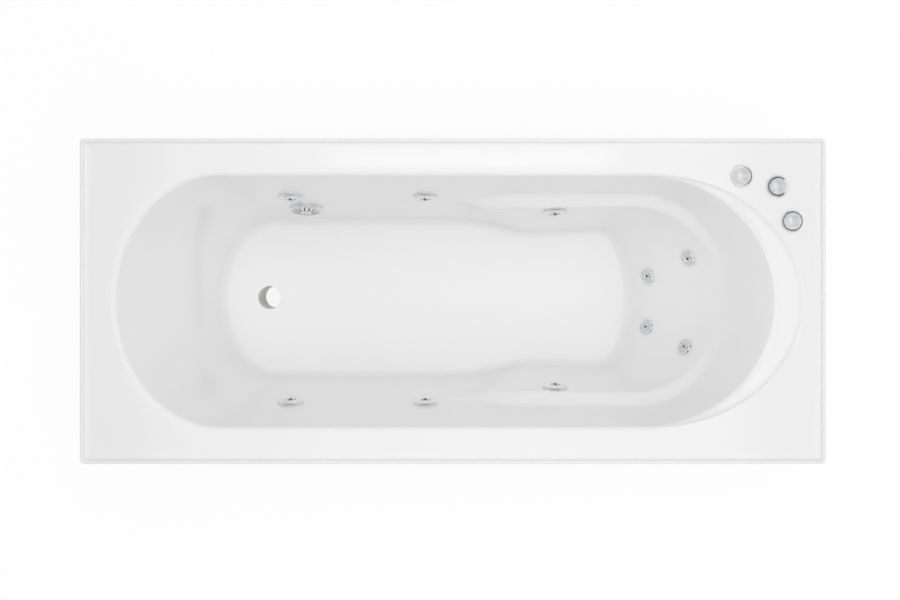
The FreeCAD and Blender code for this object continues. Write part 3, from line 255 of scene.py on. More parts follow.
def foot_reach(level):
    return -length / 2 + deck_foot + foot_inset * level / depth


def half_width(level):
    return blend(width / 2 - deck_side, floor_half, level / depth)


def side_span(level):
    share = level / depth
    return foot_reach(level) + blend(*foot_round, share), head_reach(level) - blend(*head_round, share)


def arm_offset(x, level):
    """How far the armrest stands in from the plain side."""
    share = level / depth
    start, full = blend(*arm_start, share), blend(*arm_full, share)
    ledge = blend(*arm_levels, smooth(x / arm_rise_length))
    swell = arm_bump * share * math.exp(-((x - arm_bump_x) / arm_bump_spread) ** 2)
    along = smooth((x - start) / (full - start))
    return (arm_reach + swell) * along * smooth((level - ledge) / ledge_drop)


def slant(curve, level):
    return math.sqrt(1 + ((curve(level + 1) - curve(level - 1)) / 2) ** 2)


# %% [markdown]
# Every ring has the same columns: along one side, round the head end, back along the
# other side and round the foot end.  A few columns lie close together where they meet the
# rim's corners, so that the corners come out round.

# %% Columns of the mesh
side_steps, arc_steps, corner_steps, end_steps = 64, 20, 6, 40
side_shares = [k / side_steps for k in range(side_steps)]


def arc_angles(corner):
    """Angles round an end from one side to the other, crowded at the rim's corners."""
    spread = 1.2
    first = np.linspace(90.0, corner + spread, arc_steps, endpoint=False)
    near = np.linspace(corner + spread, corner - spread, corner_steps, endpoint=False)
    middle = np.linspace(corner - spread, -(corner - spread), end_steps, endpoint=False)
    far = np.linspace(-(corner - spread), -(corner + spread), corner_steps, endpoint=False)
    last = np.linspace(-(corner + spread), -90.0, arc_steps, endpoint=False)
    return [math.radians(a) for a in np.concatenate([first, near, middle, far, last])]


head_angles, foot_angles = arc_angles(42.5), arc_angles(49.6)
columns = 2 * side_steps + len(head_angles) + len(foot_angles)
print("columns round the shell:", columns)


def band_distance(angle, level, thickness, origin):
    """How far the dished band reaches from a point, in one direction."""
    lookup = level - (thickness if level - thickness > 0 else 0)
    if lookup > band_depths[-1]:
        return 0.0
    share = float(np.interp(lookup, band_depths, band_shares))
    out = float(np.interp(lookup, band_depths, band_steps))
    start, end = side_span(lookup)
    centre = blend(end, band_centre, share)
    reach = blend(head_reach(lookup) - end, band_length, share) + out + thickness
    across = half_width(lookup) + thickness - 1.0
    c, s = math.cos(angle) / reach, math.sin(angle) / across
    offset = (origin - centre) / reach
    a, b, rest = c * c + s * s, c * offset, offset * offset - 1
    return (-b + math.sqrt(max(b * b - a * rest, 0.0))) / a


def bowl_ring(level, inset=0.0, thickness=0.0, shape_level=None, band_wall=0.0):
    """One level outline of the bowl, inside (thickness 0) or outside."""
    shape = level if shape_level is None else shape_level
    start, end = side_span(shape)
    foot_out = thickness * slant(foot_reach, shape) - inset
    head_out = thickness * slant(head_reach, shape) - inset
    z = deck_level - level
    side = []
    for share in side_shares + [1.0]:
        x = blend(start, end, share)
        lean = slant(lambda d: half_width(d) - arm_offset(x, d), shape)
        side.append((x, half_width(shape) - arm_offset(x, shape) + thickness * lean - inset))
    points = [(x, y, z) for x, y in side[:-1]]
    reach, across = head_reach(shape) - end + head_out, side[-1][1]
    for angle in head_angles:
        x, y = reach * math.cos(angle), across * math.sin(angle)
        distance, direction = math.hypot(x, y), math.atan2(y, x)
        band = band_distance(direction, level, band_wall, end) if inset <= 0 else 0.0
        scale = max(distance, band) / distance
        points.append((end + x * scale, y * scale, z))
    points += [(x, -y, z) for x, y in reversed(side[1:])]
    reach, across = start - foot_reach(shape) + foot_out, side[0][1]
    points += [(start - reach * math.cos(a), -across * math.sin(a), z) for a in foot_angles]
    return points


def rim_ring(inset, z, corner):
    """A rounded rectangle with the same columns, inset from the rim's outer edge."""
    a, b = length / 2 - inset, width / 2 - inset
    start, end = side_span(0.0)
    points = [(blend(start, end, s), b, z) for s in side_shares]

    def end_half(near, sign):
        half = [(blend(near, a - corner, k / arc_steps), b) for k in range(arc_steps)]
        for k in range(corner_steps):
            turn = math.pi / 2 * (1 - k / corner_steps)
            half.append((a - corner + corner * math.cos(turn), b - corner + corner * math.sin(turn)))
        half += [(a, blend(b - corner, -(b - corner), k / end_steps)) for k in range(end_steps)]
        for k in range(corner_steps):
            turn = -math.pi / 2 * k / corner_steps
            half.append((a - corner + corner * math.cos(turn), -(b - corner) + corner * math.sin(turn)))
        half += [(blend(a - corner, near, k / arc_steps), -b) for k in range(arc_steps)]
        return [(sign * x, sign * y, z) for x, y in half]

    points += end_half(end, 1)
    points += [(blend(end, start, s), -b, z) for s in side_shares]
    points += end_half(-start, -1)
    return points


def shrunk(ring, share):
    """The same ring drawn in towards the bath's middle line."""
    start, end = ring[0][0], ring[side_steps][0]
    drawn = []
    for x, y, z in ring:
        middle = min(max(x, start), end)
        drawn.append((blend(middle, x, share), y * share, z))
    return drawn


# %% [markdown]
# The rings run from the middle of the bath's floor up the walls, over the rolled rim,
# across the deck, over the raised lip, down the skirt, back under the deck and down the
# outside of the bowl.  Joined in that order they make one closed skin.

# %% Rings of the shell
round_steps = 8
rings = [shrunk(bowl_ring(depth, edge_radius, 0.0, depth), s) for s in (0.0, 0.3, 0.6, 0.85)]
for k in range(round_steps + 1):
    turn = (1 - k / round_steps) * math.pi / 2
    inner = depth - edge_radius * (1 - math.sin(turn))
    rings.append(bowl_ring(inner, edge_radius * (1 - math.cos(turn)), 0.0, inner))
levels = list(np.arange(378.0, 236.0, -6.0)) + list(np.arange(236.0, 132.0, -3.0))
levels += list(np.arange(132.0, 30.0, -6.0)) + list(np.arange(28.0, 8.0, -1.0))
rings += [bowl_ring(level) for level in levels]
for k in range(round_steps + 1):
    turn = (1 - k / round_steps) * math.pi / 2
    rings.append(bowl_ring(roll - roll * math.cos(turn), -roll + roll * math.sin(turn)))
opening = rings[-1]
lip_foot, lip_foot_corner = 13.0, 6.5
inner_lip = rim_ring(lip_foot, deck_level, lip_foot_corner)
for s in (0.15, 0.5, 0.85):
    rings.append([tuple(blend(p[i], q[i], s) for i in range(3)) for p, q in zip(opening, inner_lip)])
lip_profile = [(lip_foot, 0.0), (11.2, 0.3), (9.8, 1.0), (8.8, 2.1), (8.1, 3.6), (7.6, 5.1), (6.8, 6.2),
               (5.6, 6.85), (4.4, 7.0), (3.0, 6.9), (1.6, 6.3), (0.6, 5.2), (0.1, 3.9), (0.0, 2.6),
               (0.0, -10.0), (0.0, -39.2),
               (0.3, -39.8), (1.0, -40.0), (4.0, -40.0), (4.8, -39.7), (5.0, -39.0), (5.0, -12.0),
               (5.3, -7.0), (7.0, -5.4), (10.0, -5.0)]
for inset, rise in lip_profile:
    corner = max(10.0 - inset * 0.55, 2.0)
    rings.append(rim_ring(inset, deck_level + rise, corner))
face_rings = len(rings)
for k in range(4):
    turn = k / 3 * math.pi / 2
    thin = roll - wall
    rings.append(bowl_ring(roll - thin * math.cos(turn), -roll + thin * math.sin(turn), band_wall=wall))
outer_levels = [12, 16, 19, 22, 25, 28, 34, 48, 80, 120, 139, 150, 160, 172, 188, 206, 224]
outer_levels += [250, 290, 330, 360, 378]
for level in outer_levels:
    rings.append(bowl_ring(float(level), 0.0, wall, band_wall=wall))
for k in range(6):
    turn = k / 5 * math.pi / 2
    inner = depth - edge_radius * (1 - math.sin(turn))
    drop = wall * math.sin(turn)
    rings.append(bowl_ring(inner + drop, edge_radius * (1 - math.cos(turn)), wall * math.cos(turn), inner))
last = rings[-1]
rings += [shrunk(last, s) for s in (0.8, 0.5, 0.2, 0.0)]
print("rings of the shell:", len(rings), "of them under the deck:", len(rings) - face_rings)

# %% [markdown]
# ## Where the fittings sit
# Each jet stands square to the wall behind it, on a small flat seat, because its gasket
# needs a flat ring of acrylic to seal against.  The seats and holes are cut out of the
# skin with booleans, so that the edge round every fitting is a true circle.

# %% Places of the fittings
def wall_frame(point, beside, below):
    """A frame on the wall: local Z out of the wall into the bath, local X level."""
    point, beside, below = Vector(point), Vector(beside), Vector(below)
    along = (beside - point).normalized()
    out = along.cross(below - point).normalized()
    if out.z < 0:
        out = -out
    side = out.cross(along)
    turn = Matrix((along, side, out)).transposed().to_4x4()
    return Matrix.Translation(point * mm) @ turn


def side_point(x, level, sign):
    return (x, sign * (half_width(level) - arm_offset(x, level)), deck_level - level)


def back_point(y, level):
    end = side_span(level)[1]
    across = half_width(level) - arm_offset(end, level)
    return (end + (head_reach(level) - end) * math.sqrt(1 - (y / across) ** 2), y, deck_level - level)


def side_frame(x, level, sign):
    here = side_point(x, level, sign)
    return wall_frame(here, side_point(x + 1, level, sign), side_point(x, level + 1, sign))


def back_frame(y, level):
    return wall_frame(back_point(y, level), back_point(y + 1, level), back_point(y, level + 1))


side_jet_places = [(-386.0, 169.0), (-65.0, 169.0), (247.0, 195.0)]
back_jet_places = [(56.5, 337.0), (-74.5, 337.0), (100.5, 226.0), (-118.5, 226.0)]
side_jets = [side_frame(x, level, sign) for sign in (1, -1) for x, level in side_jet_places]
back_jets = [back_frame(y, level) for y, level in back_jet_places]
suction = side_frame(-364.0, 272.0, 1)
waste = Matrix.Translation((-0.478, 0.0, 0.130))
controls = [Matrix.Translation((x, y, rim_height)) for x, y in ((0.640, 0.277), (0.752, 0.177))]
button = Matrix.Translation((0.719, 0.254, rim_height))
print("fittings in the walls:", len(side_jets) + len(back_jets) + 1)

# %% Tools for turned forms and cuts
def turned(profile, steps=64, place=None):
    """A mesh turned from a profile of (radius, height) in millimetres, closed on the axis."""
    form = bmesh.new()
    loops = []
    for radius, height in profile:
        if radius < 1e-6:
            loops.append([form.verts.new((0, 0, height * mm))])
            continue
        loop = []
        for k in range(steps):
            a = 2 * math.pi * k / steps
            x, y = radius * mm * math.cos(a), radius * mm * math.sin(a)
            loop.append(form.verts.new((x, y, height * mm)))
        loops.append(loop)
    for low, high in zip(loops, loops[1:]):
        for k in range(steps):
            n = (k + 1) % steps
            corners = [low[k % len(low)], low[n % len(low)], high[n % len(high)], high[k % len(high)]]
            kept = list(dict.fromkeys(corners))
            if len(kept) > 2:
                form.faces.new(kept)
    bmesh.ops.remove_doubles(form, verts=form.verts, dist=1e-7)
    bmesh.ops.recalc_face_normals(form, faces=form.faces)
    mesh = bpy.data.meshes.new("turned_form")
    form.to_mesh(mesh)
    form.free()
    if place is not None:
        mesh.transform(place)
    return mesh


def joined(name, meshes):
    """Several meshes as one."""
    form = bmesh.new()
    for mesh in meshes:
        form.from_mesh(mesh)
        bpy.data.meshes.remove(mesh)
    bmesh.ops.recalc_face_normals(form, faces=form.faces)
    whole = bpy.data.meshes.new(name)
    form.to_mesh(whole)
    form.free()
    return whole


def plug(radius, low, high, place, steps=64):
    return turned([(0, low), (radius, low), (radius, high), (0, high)], steps, place)


def settle(made, angle=30.0):
    """Smooth shading with crisp edges where two faces meet at more than an angle."""
    made.data.polygons.foreach_set("use_smooth", [True] * len(made.data.polygons))
    made.data.set_sharp_from_angle(angle=math.radians(angle))
    return made


def carve(made, cutter_mesh, operation):
    """A boolean that is worked out at once, so that no cutter stays in the scene."""
    cutter = new_object("cutter", cutter_mesh)
    step = made.modifiers.new("carve", "BOOLEAN")
    step.operation, step.solver, step.object = operation, "EXACT", cutter
    whole = bpy.data.meshes.new_from_object(made.evaluated_get(bpy.context.evaluated_depsgraph_get()))
    made.modifiers.remove(step)
    old = made.data
    made.data = whole
    bpy.data.meshes.remove(old)
    bpy.data.objects.remove(cutter)
    bpy.data.meshes.remove(cutter_mesh)
    return made


# %% Skin of the shell
skin = bmesh.new()
loops = [[skin.verts.new((x * mm, y * mm, z * mm)) for x, y, z in ring] for ring in rings]
for index, (low, high) in enumerate(zip(loops, loops[1:])):
    for k in range(columns):
        n = (k + 1) % columns
        face = skin.faces.new((low[k], low[n], high[n], high[k]))
        face.material_index = 0 if index < face_rings - 1 else 1
bmesh.ops.remove_doubles(skin, verts=loops[0] + loops[-1], dist=1e-7)
bmesh.ops.dissolve_degenerate(skin, edges=skin.edges, dist=1e-7)
bmesh.ops.recalc_face_normals(skin, faces=skin.faces)
shell_mesh = bpy.data.meshes.new("bath_shell_skin")
skin.to_mesh(shell_mesh)
skin.free()
shell = new_object("bath_shell_skin", shell_mesh)
print("skin of the shell:", len(shell_mesh.polygons), "faces")

# %% Seats and holes
side_size, back_size, suction_size = (29.0, 20.05), (19.5, 13.05), (41.0, 30.05)
seat_margin, seat_front, seat_back, clearing = 1.5, 0.8, -7.0, 8.0
seats = [(place, *side_size) for place in side_jets] + [(place, *back_size) for place in back_jets]
seats.append((suction, *suction_size))


def seat_plugs(low, high):
    return [plug(radius + seat_margin, low, high, place) for place, radius, hole in seats]


carve(shell, joined("seats", seat_plugs(seat_back, seat_front)), "UNION")
clearings = seat_plugs(seat_front, seat_front + clearing) + seat_plugs(seat_back - clearing, seat_back)
carve(shell, joined("clearings", clearings), "DIFFERENCE")
waste_edge = [(0, -1.0), (30.0, -1.0), (30.0, 3.2), (30.6, 4.4), (32.0, 5.0), (32.0, 6.0), (0, 6.0)]
holes = [plug(hole, -8.0, 2.0, place) for place, radius, hole in seats]
holes.append(turned(waste_edge, 96, waste))
control_hole, button_hole = 16.0, 21.0
holes += [plug(control_hole, -6.0, 1.0, place) for place in controls]
holes.append(plug(button_hole, -6.0, 1.0, button))
carve(shell, joined("holes", holes), "DIFFERENCE")
settle(shell, 35.0)
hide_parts("bath_shell")
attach(shell, "bath")
print("shell with its holes:", len(shell.data.polygons), "faces")

# %% [markdown]
# ## Levelling feet
# The stud of a levelling foot is threaded all the way, so that the frame can be set at
# any height.  A thread is one ridge that winds round the stud: every ring of the mesh
# is a circle whose radius rises and falls once a turn, and that wave shifts by one
# pitch over one turn.  The pad and its spanner flats are turned in the same mesh.

# %% Threaded stud
pitch, crest, root = 1.75, 5.95, 4.95
stud_foot, stud_top, around = 18.0, 105.0, 24
thread_rows = int((stud_top - stud_foot) / pitch * 6)


def thread_radius(height, turn):
    """Crest and root radius, one ridge a turn, run out at both ends."""
    wave = abs(((height / pitch - turn) % 1.0) * 2 - 1)
    ends = min((height - stud_foot) / 3.0, (stud_top - height) / 1.5, 1.0)
    return root + (crest - root) * wave * max(ends, 0.0)


def threaded_foot():
    form = bmesh.new()
    rows = []
    for j in range(thread_rows + 1):
        height = blend(stud_foot - 1.0, stud_top, j / thread_rows)
        row = []
        for k in range(around):
            radius = thread_radius(height, k / around)
            angle = 2 * math.pi * k / around
            row.append(form.verts.new((radius * math.cos(angle) * mm, radius * math.sin(angle) * mm,
                                       height * mm)))
        rows.append(row)
    for low, high in zip(rows, rows[1:]):
        for k in range(around):
            n = (k + 1) % around
            form.faces.new((low[k], low[n], high[n], high[k]))
    form.faces.new(list(reversed(rows[0])))
    form.faces.new(rows[-1])
    flats = []
    for height, corner in ((9.0, 9.4), (9.8, 10.35), (17.2, 10.35), (18.0, 9.4)):
        flats.append([form.verts.new((corner * math.cos(k * math.pi / 3) * mm,
                                      corner * math.sin(k * math.pi / 3) * mm, height * mm))
                      for k in range(6)])
    for low, high in zip(flats, flats[1:]):
        for k in range(6):
            form.faces.new((low[k], low[(k + 1) % 6], high[(k + 1) % 6], high[k]))
    form.faces.new(list(reversed(flats[0])))
    form.faces.new(flats[-1])
    bmesh.ops.recalc_face_normals(form, faces=form.faces)
    mesh = bpy.data.meshes.new("threaded_stud")
    form.to_mesh(mesh)
    form.free()
    return mesh


pad_top = 9.9
pad_profile = [(0, 0), (23.5, 0), (25.2, 0.5), (26.0, 1.8), (26.0, 3.8), (25.2, 5.0), (21.0, 6.2),
               (17.0, 7.6), (13.6, 9.2), (12.6, pad_top), (0, pad_top)]
foot_mesh = joined("levelling_foot_form", [turned(pad_profile), threaded_foot()])
foot_places = [(-0.59, 0.2025), (-0.59, -0.2025), (0.77, 0.2025), (0.77, -0.2025)]
for index, (x, y) in enumerate(foot_places):
    name = "levelling_foot_" + str(index + 1)
    foot = settle(new_object(name + "_threaded", foot_mesh), 28.0)
    foot.location = (x, y, 0.0)
    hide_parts(name)
    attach(foot, "foot_" + str(index + 1))
print("levelling feet: 4, faces each:", len(foot_mesh.polygons))

# %% [markdown]
# ## Bellows under the start button
# Pressing the button squeezes a small rubber bellows, and the puff of air goes down a
# tube to the pump's switch box.  Its folds are a wave turned round the axis.  Its foot
# stays in the housing, so it goes with the bath; the mesh keeps this one shape and does
# not flatten when the button comes down.

# %% Rubber bellows
button_travel, rubber, folds, fold_steps = 4.0, 1.5, 3, 36
fold_crest, fold_root = 9.0, 5.4
low, high = ((corner[2] - rim_height) * 1000.0 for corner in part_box("button_bellows"))
outside = []
for k in range(fold_steps + 1):
    wave = math.cos(2 * math.pi * folds * k / fold_steps)
    outside.append((blend(fold_crest, fold_root, 0.5 + 0.5 * wave), blend(low, high, k / fold_steps)))
inside = [(radius - rubber, min(height, high - rubber)) for radius, height in reversed(outside)]
bellows_form = turned(outside + [(0, high), (0, high - rubber)] + inside + outside[:1], 48, button)
bellows = settle(new_object("button_bellows_folds", bellows_form), 40.0)
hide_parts("button_bellows")
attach(bellows, "bath")
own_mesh(bellows)
print("bellows: height", round(high - low, 1), "mm, faces", len(bellows.data.polygons))

# %% [markdown]
# ## Effects that several finishes share
# Real surfaces are never one flat value.  Pressed acrylic and chrome ripple very
# slightly, mouldings have a fine grain, bright edges wear, and dust settles on top.
# Each effect is a node group that puts out a mask or a height, and every finish uses it
# with numbers of its own.

# %% Helpers for node groups
def effect(name, inputs, outputs):
    """An empty node group; returns it with its input and output nodes."""
    group = bpy.data.node_groups.new(name, "ShaderNodeTree")
    for socket, value in inputs.items():
        made = group.interface.new_socket(socket, in_out="INPUT", socket_type="NodeSocketFloat")
        made.default_value = value
    for socket, kind in outputs.items():
        group.interface.new_socket(socket, in_out="OUTPUT", socket_type=kind)
    return group, add(group, "NodeGroupInput"), add(group, "NodeGroupOutput")


def math_node(tree, operation, first, second=0.5, third=None):
    """A Math node; a value may be a number or another node's output."""
    node = add(tree, "ShaderNodeMath", operation=operation)
    for index, value in enumerate((first, second, third)):
        if value is None:
            continue
        if isinstance(value, (int, float)):
            node.inputs[index].default_value = value
        else:
            tree.links.new(value, node.inputs[index])
    return node.outputs[0]


def ramp(tree, source, low, high, reverse=False):
    """0 below low, 1 above high, smooth between."""
    node = add(tree, "ShaderNodeMapRange", interpolation_type="SMOOTHSTEP")
    tree.links.new(source, node.inputs["Value"])
    node.inputs["From Min"].default_value = low
    node.inputs["From Max"].default_value = high
    node.inputs["To Min"].default_value = 1.0 if reverse else 0.0
    node.inputs["To Max"].default_value = 0.0 if reverse else 1.0
    return node.outputs["Result"]


def place_on_object(tree, stretch=(1.0, 1.0, 1.0)):
    """The object's own coordinates in metres, stretched along each axis."""
    where = add(tree, "ShaderNodeTexCoord")
    mapping = add(tree, "ShaderNodeMapping")
    mapping.inputs["Scale"].default_value = stretch
    tree.links.new(where.outputs["Object"], mapping.inputs["Vector"])
    return mapping.outputs["Vector"]


def noise(tree, where, scale, detail=2.0, roughness=0.5):
    node = add(tree, "ShaderNodeTexNoise")
    tree.links.new(where, node.inputs["Vector"])
    if isinstance(scale, (int, float)):
        node.inputs["Scale"].default_value = scale
    else:
        tree.links.new(scale, node.inputs["Scale"])
    node.inputs["Detail"].default_value = detail
    node.inputs["Roughness"].default_value = roughness
    return node.outputs["Fac"]


# %% Ripple of a pressed or plated surface
group, given, result = effect("slow_ripple", {"Scale": 30.0}, {"Height": "NodeSocketFloat"})
where = place_on_object(group)
broad = noise(group, where, given.outputs["Scale"], 1.0)
fine = noise(group, where, math_node(group, "MULTIPLY", given.outputs["Scale"], 12.0), 2.0)
group.links.new(math_node(group, "MULTIPLY_ADD", fine, 0.08, broad), result.inputs["Height"])

# %% Marks left by dried drops
group, given, result = effect("drying_marks", {"Scale": 90.0, "Amount": 0.5}, {"Mask": "NodeSocketFloat"})
where = place_on_object(group)
cells = add(group, "ShaderNodeTexVoronoi", feature="F1")
group.links.new(where, cells.inputs["Vector"])
group.links.new(given.outputs["Scale"], cells.inputs["Scale"])
edge_of_drop = math_node(group, "MULTIPLY", ramp(group, cells.outputs["Distance"], 0.18, 0.24),
                         ramp(group, cells.outputs["Distance"], 0.24, 0.32, True))
patches = ramp(group, noise(group, where, 9.0), 0.45, 0.7)
group.links.new(math_node(group, "MULTIPLY", math_node(group, "MULTIPLY", edge_of_drop, patches),
                          given.outputs["Amount"]), result.inputs["Mask"])

# %% Wear along edges
group, given, result = effect("edge_wear", {"Start": 0.53, "End": 0.60}, {"Mask": "NodeSocketFloat"})
shape = add(group, "ShaderNodeNewGeometry")
spread = add(group, "ShaderNodeMapRange")
group.links.new(shape.outputs["Pointiness"], spread.inputs["Value"])
group.links.new(given.outputs["Start"], spread.inputs["From Min"])
group.links.new(given.outputs["End"], spread.inputs["From Max"])
broken = ramp(group, noise(group, place_on_object(group), 220.0, 3.0), 0.35, 0.6)
group.links.new(math_node(group, "MULTIPLY", spread.outputs["Result"], broken), result.inputs["Mask"])

# %% Fine grain of a moulding
group, given, result = effect("moulding_grain", {"Scale": 1800.0}, {"Height": "NodeSocketFloat"})
where = place_on_object(group)
pebbles = add(group, "ShaderNodeTexVoronoi", feature="SMOOTH_F1")
group.links.new(where, pebbles.inputs["Vector"])
group.links.new(given.outputs["Scale"], pebbles.inputs["Scale"])
group.links.new(pebbles.outputs["Distance"], result.inputs["Height"])

# %% Dust on what faces up
group, given, result = effect("settled_dust", {"Amount": 0.4}, {"Mask": "NodeSocketFloat"})
shape = add(group, "ShaderNodeNewGeometry")
parts = add(group, "ShaderNodeSeparateXYZ")
group.links.new(shape.outputs["Normal"], parts.inputs[0])
upward = ramp(group, parts.outputs["Z"], 0.3, 0.95)
clumps = ramp(group, noise(group, place_on_object(group), 55.0, 6.0, 0.7), 0.35, 0.7)
group.links.new(math_node(group, "MULTIPLY", math_node(group, "MULTIPLY", upward, clumps),
                          given.outputs["Amount"]), result.inputs["Mask"])

# %% Long scratches of a drawn or ground metal
group, given, result = effect("drawn_lines", {"Scale": 500.0}, {"Height": "NodeSocketFloat"})
lines = noise(group, place_on_object(group, (0.02, 1.0, 1.0)), given.outputs["Scale"], 4.0, 0.7)
group.links.new(lines, result.inputs["Height"])
print("shared effects:", len(bpy.data.node_groups))

# %% [markdown]
# ## Finishes
# Each finish starts from one Principled shader.  Numbers that are the same all over
# are set on its own sockets, and only what changes over the surface comes through links.

# %% Helpers for finishes
finishes = {}


def finish(name, colour, roughness, **sockets):
    """A new material, kept by name; returns its node tree and its Principled shader."""
    made = bpy.data.materials.new(name)
    made.use_nodes = True
    shader = made.node_tree.nodes["Principled BSDF"]
    shader.inputs["Base Color"].default_value = (*colour, 1.0)
    shader.inputs["Roughness"].default_value = roughness
    for socket, value in sockets.items():
        shader.inputs[socket.replace("_", " ")].default_value = value
    finishes[name] = made
    return made.node_tree, shader


def use(tree, name, **values):
    """A shared effect placed in a finish."""
    node = add(tree, "ShaderNodeGroup")
    node.node_tree = bpy.data.node_groups[name]
    for socket, value in values.items():
        node.inputs[socket].default_value = value
    return node


def bump(tree, shader, height, distance, strength=1.0, under=None):
    node = add(tree, "ShaderNodeBump")
    node.inputs["Strength"].default_value = strength
    node.inputs["Distance"].default_value = distance
    tree.links.new(height, node.inputs["Height"])
    if under is not None:
        tree.links.new(under, node.inputs["Normal"])
    tree.links.new(node.outputs["Normal"], shader.inputs["Normal"])
    return node.outputs["Normal"]


def colours(tree, shader, mask, first, second, socket="Base Color"):
    node = add(tree, "ShaderNodeMix", data_type="RGBA")
    tree.links.new(mask, node.inputs[0])
    node.inputs[6].default_value = (*first, 1.0)
    node.inputs[7].default_value = (*second, 1.0)
    tree.links.new(node.outputs[2], shader.inputs[socket])
    return node.outputs[2]


def shades(tree, mask, first, second, socket):
    node = add(tree, "ShaderNodeMapRange")
    tree.links.new(mask, node.inputs["Value"])
    node.inputs["To Min"].default_value = first
    node.inputs["To Max"].default_value = second
    tree.links.new(node.outputs["Result"], socket)


# %% [markdown]
# White sanitary acrylic is solid colour under a deep gloss.  Its pressed face has a
# ripple far too shallow to feel, which only bends the reflections.

# %% White acrylic
tree, shader = finish("pressed_acrylic", (0.938, 0.94, 0.938), 0.12, Specular_IOR_Level=0.5, IOR=1.49)
bump(tree, shader, use(tree, "slow_ripple", Scale=14.0).outputs["Height"], 0.0004, 0.35)
marks = use(tree, "drying_marks", Scale=70.0, Amount=0.35).outputs["Mask"]
shades(tree, marks, 0.10, 0.24, shader.inputs["Roughness"])

# %% [markdown]
# The back of the shell is sprayed with chopped glass strands in resin.  Nobody sees it
# once the bath is boxed in, but from behind it is the bath's most telling surface.

# %% Sprayed back
tree, shader = finish("sprayed_back", (0.72, 0.70, 0.62), 0.5, IOR=1.5)
strand_layers = []
for turn, scale in ((0.35, 260.0), (1.25, 310.0), (2.2, 280.0)):
    where = add(tree, "ShaderNodeTexCoord")
    mapping = add(tree, "ShaderNodeMapping")
    mapping.inputs["Rotation"].default_value = (turn, turn * 0.7, turn)
    mapping.inputs["Scale"].default_value = (0.08, 1.0, 1.0)
    tree.links.new(where.outputs["Object"], mapping.inputs["Vector"])
    strand_layers.append(ramp(tree, noise(tree, mapping.outputs["Vector"], scale, 2.0), 0.52, 0.66))
strands = math_node(tree, "MAXIMUM", math_node(tree, "MAXIMUM", strand_layers[0], strand_layers[1]),
                    strand_layers[2])
pools = noise(tree, place_on_object(tree), 26.0, 4.0, 0.6)
pool_tone = math_node(tree, "MULTIPLY", pools, 0.4)
colours(tree, shader, math_node(tree, "MULTIPLY_ADD", strands, 0.6, pool_tone),
        (0.62, 0.60, 0.50), (0.84, 0.83, 0.78))
rough = bump(tree, shader, pools, 0.003, 0.6)
bump(tree, shader, strands, 0.0007, 0.8, rough)
shades(tree, pools, 0.32, 0.62, shader.inputs["Roughness"])

# %% Chrome plate on plastic
tree, shader = finish("chrome_plate", (0.82, 0.83, 0.85), 0.05, Metallic=1.0)
bump(tree, shader, use(tree, "slow_ripple", Scale=120.0).outputs["Height"], 0.00004, 0.5)
marks = use(tree, "drying_marks", Scale=260.0, Amount=0.6).outputs["Mask"]
shades(tree, marks, 0.04, 0.22, shader.inputs["Roughness"])

# %% Satin metallised knobs
tree, shader = finish("satin_knob", (0.80, 0.81, 0.82), 0.3, Metallic=0.35, Coat_Weight=0.3)
grain = use(tree, "moulding_grain", Scale=2600.0).outputs["Height"]
bump(tree, shader, grain, 0.00004, 0.4)
worn = use(tree, "edge_wear", Start=0.52, End=0.62).outputs["Mask"]
colours(tree, shader, worn, (0.80, 0.81, 0.82), (0.92, 0.92, 0.92))
shades(tree, noise(tree, place_on_object(tree), 90.0, 3.0), 0.24, 0.38, shader.inputs["Roughness"])

# %% Bright steel screws and clips
tree, shader = finish("bright_steel", (0.58, 0.58, 0.60), 0.3, Metallic=1.0)
bump(tree, shader, use(tree, "drawn_lines", Scale=900.0).outputs["Height"], 0.00006, 0.5)
worn = use(tree, "edge_wear").outputs["Mask"]
colours(tree, shader, worn, (0.55, 0.55, 0.57), (0.8, 0.8, 0.8))

# %% White pipework and fittings
tree, shader = finish("white_pipework", (0.80, 0.80, 0.78), 0.42, IOR=1.5)
bump(tree, shader, use(tree, "moulding_grain", Scale=1400.0).outputs["Height"], 0.00008, 0.35)
dust = use(tree, "settled_dust", Amount=0.35).outputs["Mask"]
colours(tree, shader, dust, (0.80, 0.80, 0.78), (0.62, 0.60, 0.56))
shades(tree, dust, 0.36, 0.75, shader.inputs["Roughness"])

# %% Clear air hose
tree, shader = finish("milky_hose", (0.78, 0.82, 0.84), 0.25, IOR=1.45, Transmission_Weight=0.35)
bump(tree, shader, use(tree, "slow_ripple", Scale=180.0).outputs["Height"], 0.0004, 0.6)
haze = noise(tree, place_on_object(tree), 40.0, 3.0)
colours(tree, shader, haze, (0.70, 0.75, 0.78), (0.86, 0.88, 0.88))
shades(tree, haze, 0.18, 0.4, shader.inputs["Roughness"])

# %% Black rubber
tree, shader = finish("black_rubber", (0.035, 0.035, 0.037), 0.65, Specular_IOR_Level=0.4)
bump(tree, shader, use(tree, "moulding_grain", Scale=900.0).outputs["Height"], 0.00015, 0.5)
dust = use(tree, "settled_dust", Amount=0.5).outputs["Mask"]
colours(tree, shader, dust, (0.035, 0.035, 0.037), (0.30, 0.29, 0.27))

# %% [markdown]
# The board bonded under the floor is pressed from wood chips and sealed with a coat
# of resin: flat flakes of a few millimetres, each with its own tone.

